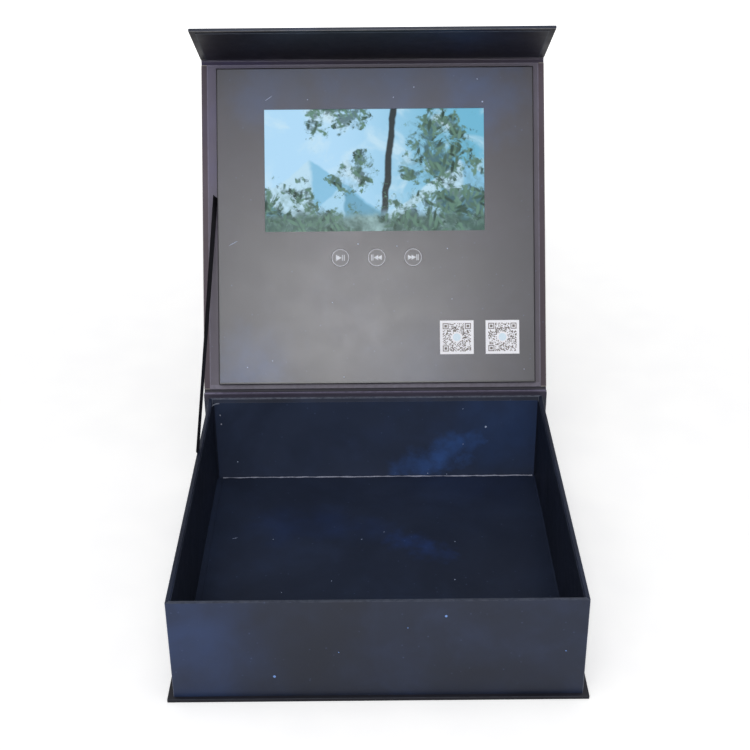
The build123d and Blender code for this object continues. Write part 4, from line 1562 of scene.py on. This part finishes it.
@dataclass
class Key:
    """One push button with its printed ring and symbol."""

    name: str
    symbol: Symbol
    ring_radius: float = 6.15 * MM
    ring_width: float = 0.5 * MM
    ring_sides: int = 64
    ink: float = 0.02 * MM
    mark: float = 2.6 * MM
    double_mark: float = 0.8
    bar: tuple[float, float] = (0.5 * MM, 4.2 * MM)

    @property
    def middle(self) -> Vector:
        """The middle of its top, in the lid's frame."""
        low, high = LID.box(f"{self.name}_button")
        return Vector(((low.x + high.x) / 2, (low.y + high.y) / 2, high.z))

    def build(self) -> None:
        """Prints the ring and the symbol on the cap, and dresses the cap and its stem."""
        Print.panel.dress(f"{self.name}_button")
        Stuff.stem.dress(f"{self.name}_switch_stem")
        self.ring()
        self.sign()

    def ring(self) -> None:
        """The thin printed ring near the edge of the cap."""
        work = Workpiece(LID)
        centre = self.middle
        loops = []
        for radius in (self.ring_radius - self.ring_width, self.ring_radius):
            place = Matrix.Translation(centre + Vector((0, 0, self.ink / 2)))
            made = bmesh.ops.create_circle(work.mesh, segments=self.ring_sides, radius=radius, matrix=place)
            loops += list({e for v in made["verts"] for e in v.link_edges})
        bmesh.ops.bridge_loops(work.mesh, edges=loops)
        work.raise_up(self.ink / 2)
        work.set_down(f"{self.name}_ring", f"{self.name}_key", Stuff.ring_ink)

    def sign(self) -> None:
        """The triangle and bars of this key."""
        work = Workpiece(LID)
        centre = self.middle + Vector((0, 0, self.ink / 2))
        # middles of the triangles and of the bars in mm, and the way that the triangles point
        triangles, bars, way = {
            Symbol.PLAY: ((-1.75,), (1.45, 2.75), 1),
            Symbol.BACK: ((0.0, 2.55), (-3.6, -2.6), -1),
            Symbol.FORWARD: ((-2.55, 0.0), (2.6, 3.6), 1),
        }[self.symbol]
        for shift in triangles:
            radius = self.mark * (1.0 if self.symbol is Symbol.PLAY else self.double_mark)
            work.disc(centre + Vector((shift * MM, 0, 0)), radius, 3, -way * math.pi / 2)
        for shift in bars:
            place = Matrix.Translation(centre)
            made = bmesh.ops.create_grid(work.mesh, x_segments=1, y_segments=1, size=0.5, matrix=place)
            bmesh.ops.scale(work.mesh, vec=(*self.bar, 1), space=place.inverted(), verts=made["verts"])
            bmesh.ops.translate(work.mesh, vec=(shift * MM, 0, 0), verts=made["verts"])
        work.raise_up(self.ink / 2)
        work.set_down(f"{self.name}_symbol", f"{self.name}_key", Stuff.white_ink)


# ======================= prints on the panel and the papers =======================


@dataclass
class CodePlaque:
    """A small square of made-up modules, which encodes nothing."""

    name: str
    centre_x: float
    seed: int
    from_hinge: float = 40.5 * MM
    size: float = 23.6 * MM
    count: int = 33
    spread: float = 0.84
    filled: float = 0.42
    target: float = 3.5
    badge_room: float = 6.2
    badge_radius: float = 2.7 * MM
    ink: float = 0.015 * MM

    def build(self, height: float) -> None:
        """Prints the ground, the modules and the round badge in the middle.

        Args:
            height: Height of the panel's face in the lid's frame.
        """
        centre = Vector((self.centre_x, self.from_hinge, height + self.ink / 2))
        half = Vector((self.size, self.size, self.ink)) / 2
        ground = Workpiece(LID)
        ground.slab(centre - half, centre + half)
        ground.set_down(f"{self.name}_ground", "lid", Stuff.code_ground)
        top = centre + Vector((0, 0, self.ink))
        modules = Workpiece(LID)
        bmesh.ops.create_grid(
            modules.mesh, x_segments=self.count, y_segments=self.count, size=self.size * self.spread / 2,
            matrix=Matrix.Translation(top),
        )
        chance = random.Random(self.seed)
        step = self.size * self.spread / self.count
        gone = []
        for face in sorted(modules.mesh.faces, key=lambda f: f.index):
            place = (face.calc_center_median() - top) / step
            if not self.printed(place.x, place.y, chance.random() < self.filled):
                gone.append(face)
        bmesh.ops.delete(modules.mesh, geom=gone, context="FACES")
        modules.raise_up(self.ink)
        modules.set_down(f"{self.name}_modules", "lid", Stuff.code_ink)
        badge = Workpiece(LID)
        badge.disc(top, self.badge_radius, 32)
        badge.raise_up(self.ink)
        badge.set_down(f"{self.name}_badge", "lid", Stuff.code_badge)

    def printed(self, column: float, row: float, filled: bool) -> bool:
        """Says whether a module is printed: ringed squares in three corners, and none under the badge.

        Args:
            column: How far it is from the middle to the right, in modules.
            row: How far it is upwards.
            filled: What chance gives it.

        Returns:
            Yes where there is ink.
        """
        if math.hypot(column, row) < self.badge_room:
            return False
        middle = self.count / 2 - self.target
        for side, height in ((-1, 1), (1, 1), (-1, -1)):
            away = max(abs(column - side * middle), abs(row - height * middle))
            if away < self.target + 0.9:
                return self.target - 0.9 < away < self.target - 0.1 or away < 1.4
        return filled


@dataclass
class StarPrint:
    """Printed stars: small flat dots of ink on one face."""

    name: str
    body: str
    leaf: Leaf
    stars: tuple[tuple[float, float, float], ...]
    height: float
    finish: Finish
    slot: str
    streaks: tuple[tuple[float, float, float, float], ...] = ()
    streak_width: float = 0.16 * MM
    ink: float = 0.012 * MM

    def build(self) -> None:
        """Prints the stars, each at an x, a y and a radius in mm, and streaks with a length and a turn."""
        work = Workpiece(self.leaf)
        for x, y, radius in self.stars:
            work.disc((x * MM, y * MM, self.height), radius * MM, 8)
        for x, y, length, turn in self.streaks:
            middle = Vector((x * MM, y * MM, self.height))
            made = work.disc(middle, 1.0, 10)
            size = (length * MM / 2, self.streak_width, 1)
            bmesh.ops.scale(work.mesh, vec=size, space=Matrix.Translation(-middle), verts=made)
            lean = Matrix.Rotation(math.radians(turn), 3, "Z")
            bmesh.ops.rotate(work.mesh, cent=middle, matrix=lean, verts=made)
        work.raise_up(self.ink)
        work.set_down(self.name, self.body, self.finish)


# ======================= ribbon =======================


@dataclass
class RibbonStay:
    """The satin ribbon that holds the lid open, taut from the left wall to the panel."""

    width: float = 6.0 * MM
    thickness: float = 0.3 * MM
    rows: int = 72
    foot_from_back: float = 75.0 * MM
    up_lid: float = 141.0 * MM
    beside_panel: float = 1.6 * MM
    fold_share: float = 0.35
    foot_turn: float = 13.0
    more_turn: float = 13.0
    sag: float = 0.8 * MM
    foot_inset: float = 0.25 * MM
    foot_sunk: float = 0.1 * MM

    def build(self) -> None:
        """Makes the twisted band."""
        tray_low, tray_high = TABLE.box("tray_wrap")
        panel_low, panel_high = LID.box("panel_face_wrap")
        foot = Vector((
            tray_low.x + self.foot_inset, tray_high.y - self.foot_from_back, tray_high.z - self.foot_sunk,
        ))
        head = LID.point(panel_low.x - self.beside_panel, self.up_lid, (panel_low.z + panel_high.z) / 2)
        run = (head - foot).normalized()
        flat = Vector((0, 1, 0)).cross(run).normalized()
        edge = run.cross(flat).normalized()
        work = Workpiece()
        layer = work.mesh.loops.layers.uv.new("length")
        made = bmesh.ops.create_grid(work.mesh, x_segments=6, y_segments=self.rows, size=0.5)["verts"]
        for vertex in made:
            side, share = vertex.co.x * self.width, vertex.co.y + 0.5
            turn = math.radians(self.foot_turn + self.more_turn * share * share * (3 - 2 * share))
            across = edge * math.cos(turn) + flat * math.sin(turn)
            low = -math.sin(math.pi * share) * self.sag
            vertex.co = foot.lerp(head, share) + across * side + Vector((0, 0, low))
        length = (head - foot).length
        for face in work.mesh.faces:
            for loop in face.loops:
                away = loop.vert.co - foot
                share = away.dot(run)
                loop[layer].uv = ((away - run * share).dot(edge), min(share, length))
        bmesh.ops.solidify(work.mesh, geom=work.mesh.faces[:], thickness=self.thickness)
        bmesh.ops.recalc_face_normals(work.mesh, faces=work.mesh.faces[:])
        piece = work.set_down("ribbon_band", None, Stuff.ribbon, ("ribbon_stay",))
        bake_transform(piece)


# ======================= electronics =======================


@dataclass
class Electronics:
    """What lies inside the panel, dressed on its CAD nodes."""

    def build(self) -> None:
        """Dresses boards, chips, leads, battery and speaker."""
        Stuff.circuit.dress("main_board", "button_board")
        Stuff.chip.dress("processor_chip", "memory_chip", "small_parts", "power_coil")
        Stuff.connector.dress("usb_socket", "screen_connector")
        Stuff.tongue.dress("usb_tongue")
        Stuff.stem.dress("battery_socket")
        Stuff.switch.dress("switch_housings")
        Stuff.battery.dress("battery")
        Stuff.red_lead.dress("battery_lead_red")
        Stuff.black_lead.dress("battery_lead_black", "speaker_leads")
        Stuff.speaker.dress("speaker")
        Stuff.magnet.dress("flap_magnets")


# ======================= studio =======================


@dataclass
class Studio:
    """A pale floor, soft light and the camera at the photograph's place."""

    image: float = 750.0
    focal: float = 1337.309
    sensor: float = 36.0
    place: tuple[float, float, float] = (-0.00091, -0.710477, 0.52336)
    pitch: float = 27.852
    yaw: float = 0.051
    roll: float = -0.476
    soft_light: float = 0.5
    mirrored_light: float = 0.8
    floor_lift: tuple[float, float] = (0.3, 0.9)
    lift_from: tuple[float, float] = (0.3, 1.6)

    def build(self) -> None:
        """Sets up the view, the lights, the world, the floor and the camera."""
        scene = bpy.context.scene
        scene.view_settings.view_transform = "Standard"
        self.floor()
        self.world()
        self.lamp("glare_box", (-0.06, -1.6, 1.05), (0, 0.15, 0.15), (0.34, 0.46), 8.2)
        self.lamp("front_box", (-0.3, -1.9, 1.5), (0, 0, 0.1), (1.8, 0.8), 10.0)
        self.lamp("top_box", (0.0, -0.2, 2.0), (0, 0, 0), (1.2, 1.2), 6.0)
        self.camera()

    def floor(self) -> None:
        """A wide pale floor, which the camera sees as white apart from the object's shadow."""
        work = bmesh.new()
        bmesh.ops.create_grid(work, x_segments=1, y_segments=1, size=20.0)
        data = bpy.data.meshes.new("floor")
        work.to_mesh(data)
        work.free()
        graph = Graph(bpy.data.materials.new("pale_floor"))
        speckle = graph.noise(graph.here(), 30, 3)
        colour = graph.mix(graph.span(speckle, 0.3, 0.7), srgb(243, 243, 244), srgb(247, 247, 247))
        values = {"Base Color": colour, "Roughness": 0.9, "Specular IOR Level": 0.1}
        shade = graph.add("BsdfPrincipled", values)
        away = graph.span(graph.far(graph.here(), (0, 0, 0)), *self.lift_from, *self.floor_lift)
        lift = graph.add("Emission", {"Color": (1, 1, 1, 1), "Strength": away})
        camera = graph.add("LightPath").outputs["Is Camera Ray"]
        total = graph.add("AddShader", {0: shade.outputs[0], 1: lift.outputs[0]})
        both = graph.add("MixShader", {0: camera, 1: shade.outputs[0], 2: total.outputs[0]})
        graph.add("OutputMaterial", {"Surface": both.outputs[0]})
        data.materials.append(graph.owner)
        floor = bpy.data.objects.new("floor", data)
        bpy.context.scene.collection.objects.link(floor)

    def world(self) -> None:
        """White to the camera and in reflections, and a plain soft light for the rest."""
        world = bpy.data.worlds.new("studio")
        bpy.context.scene.world = world
        graph = Graph(world)
        rays = graph.add("LightPath").outputs
        seen = graph.maths("MAXIMUM", rays["Is Camera Ray"], rays["Is Transmission Ray"])
        level = graph.add("MapRange", {"Value": seen, "To Min": self.soft_light, "To Max": 1.0}).outputs[0]
        mirrored = graph.maths("MULTIPLY", rays["Is Glossy Ray"], self.mirrored_light)
        strength = graph.maths("MAXIMUM", level, mirrored)
        background = graph.add("Background", {"Color": (1, 1, 1, 1), "Strength": strength})
        graph.add("OutputWorld", {"Surface": background.outputs[0]})

    def lamp(self, name: str, place: Triple, target: Triple, size: tuple[float, float], power: float) -> None:
        """Hangs one soft box.

        Args:
            name: Name of the lamp.
            place: Its middle.
            target: The point that it faces.
            size: Its width and height.
            power: Its power in watts.
        """
        data = bpy.data.lights.new(name, "AREA")
        data.shape = "RECTANGLE"
        data.size, data.size_y = size
        data.energy = power
        lamp = bpy.data.objects.new(name, data)
        lamp.location = place
        lamp.rotation_euler = (Vector(target) - Vector(place)).to_track_quat("-Z", "Y").to_euler()
        bpy.context.scene.collection.objects.link(lamp)

    def camera(self) -> None:
        """The camera at the place and turn of the photograph's."""
        data = bpy.data.cameras.new("camera")
        data.sensor_width = self.sensor
        data.lens = self.focal * self.sensor / self.image
        data.clip_start, data.clip_end = 0.01, 60
        pitch, yaw, roll = (math.radians(a) for a in (self.pitch, self.yaw, self.roll))
        ahead = Vector((math.sin(yaw) * math.cos(pitch), math.cos(yaw) * math.cos(pitch), -math.sin(pitch)))
        right = Vector((math.cos(yaw), -math.sin(yaw), 0))
        up = right.cross(ahead)
        tilted_right = right * math.cos(roll) + up * math.sin(roll)
        tilted_up = up * math.cos(roll) - right * math.sin(roll)
        turn = Matrix((tilted_right, tilted_up, -ahead)).transposed()
        camera = bpy.data.objects.new("camera", data)
        camera.matrix_world = Matrix.Translation(self.place) @ turn.to_4x4()
        bpy.context.scene.collection.objects.link(camera)
        bpy.context.scene.camera = camera


def main() -> None:
    """Builds the sub-assemblies in order."""
    logging.basicConfig(level=logging.INFO, format="%(name)s: %(message)s")
    keys = [Key("play", Symbol.PLAY), Key("previous", Symbol.BACK), Key("next", Symbol.FORWARD)]
    gasket_low, gasket_high = LID.box("screen_gasket")
    frame_width = Vector((4.0 * MM, 4.0 * MM, 0))
    window = (gasket_low + frame_width, gasket_high - frame_width)
    Studio().build()
    Case().build()
    Tray().build()
    LinedLeaf(
        "lid", "lid", LID, Print.outer, Print.lid, "outer_print", "inner_print",
        turned_in=Print.lid_edge, pale_foot=LID.box("panel_face_wrap")[0].y - LID.box("lid_liner")[0].y,
    ).build()
    LinedLeaf(
        "flap", "flap", FLAP, Print.outer, Print.flap, "outer_print", "flap_print",
        border=0.8, side_border=0.2, rubbed=0.2, turned_in=Print.flap,
    ).build()
    PaperHinges().build()
    panel = ScreenPanel()
    panel.build([key.middle for key in keys], window)
    Screen().build(window)
    for key in keys:
        key.build()
    CodePlaque("left_code", 57.5 * MM, 11).build(panel.top)
    CodePlaque("right_code", 89.5 * MM, 23).build(panel.top)
    StarPrint(
        "panel_stars", "lid", LID,
        (
            (28.8, 216, 0.4), (14.4, 209, 0.35), (73.2, 221.3, 0.35), (76.7, 205.4, 0.6),
            (-45.8, 207.8, 0.35), (-11.3, 106.5, 0.45), (51.4, 102.8, 0.35), (16.0, 104.8, 0.3),
            (-29.5, 65.6, 0.3), (54.3, 67.4, 0.3), (-89.6, 20.6, 0.4), (-72.0, 25.0, 0.3),
            (-21.9, 13.3, 0.35), (104.5, 17.8, 0.3),
        ),
        panel.top, Stuff.star_ink, "panel_print", ((-73.1, 208.9, 6.0, 35), (-98.7, 107.7, 7.0, 28)),
    ).build()
    outside = Leaf(LID.origin, -LID.along, -LID.out)
    StarPrint(
        "lid_outside_stars", "lid", outside,
        (
            (-71, -188, 0.7), (44, -151, 0.4), (-22, -96, 0.45), (83, -63, 0.75), (12, -214, 0.35),
            (-96, -41, 0.35),
        ),
        -LID.box("lid_wrap")[0].z, Stuff.blue_ink, "outer_print",
    ).build()
    RibbonStay().build()
    Electronics().build()


if __name__ == "__main__":
    main()
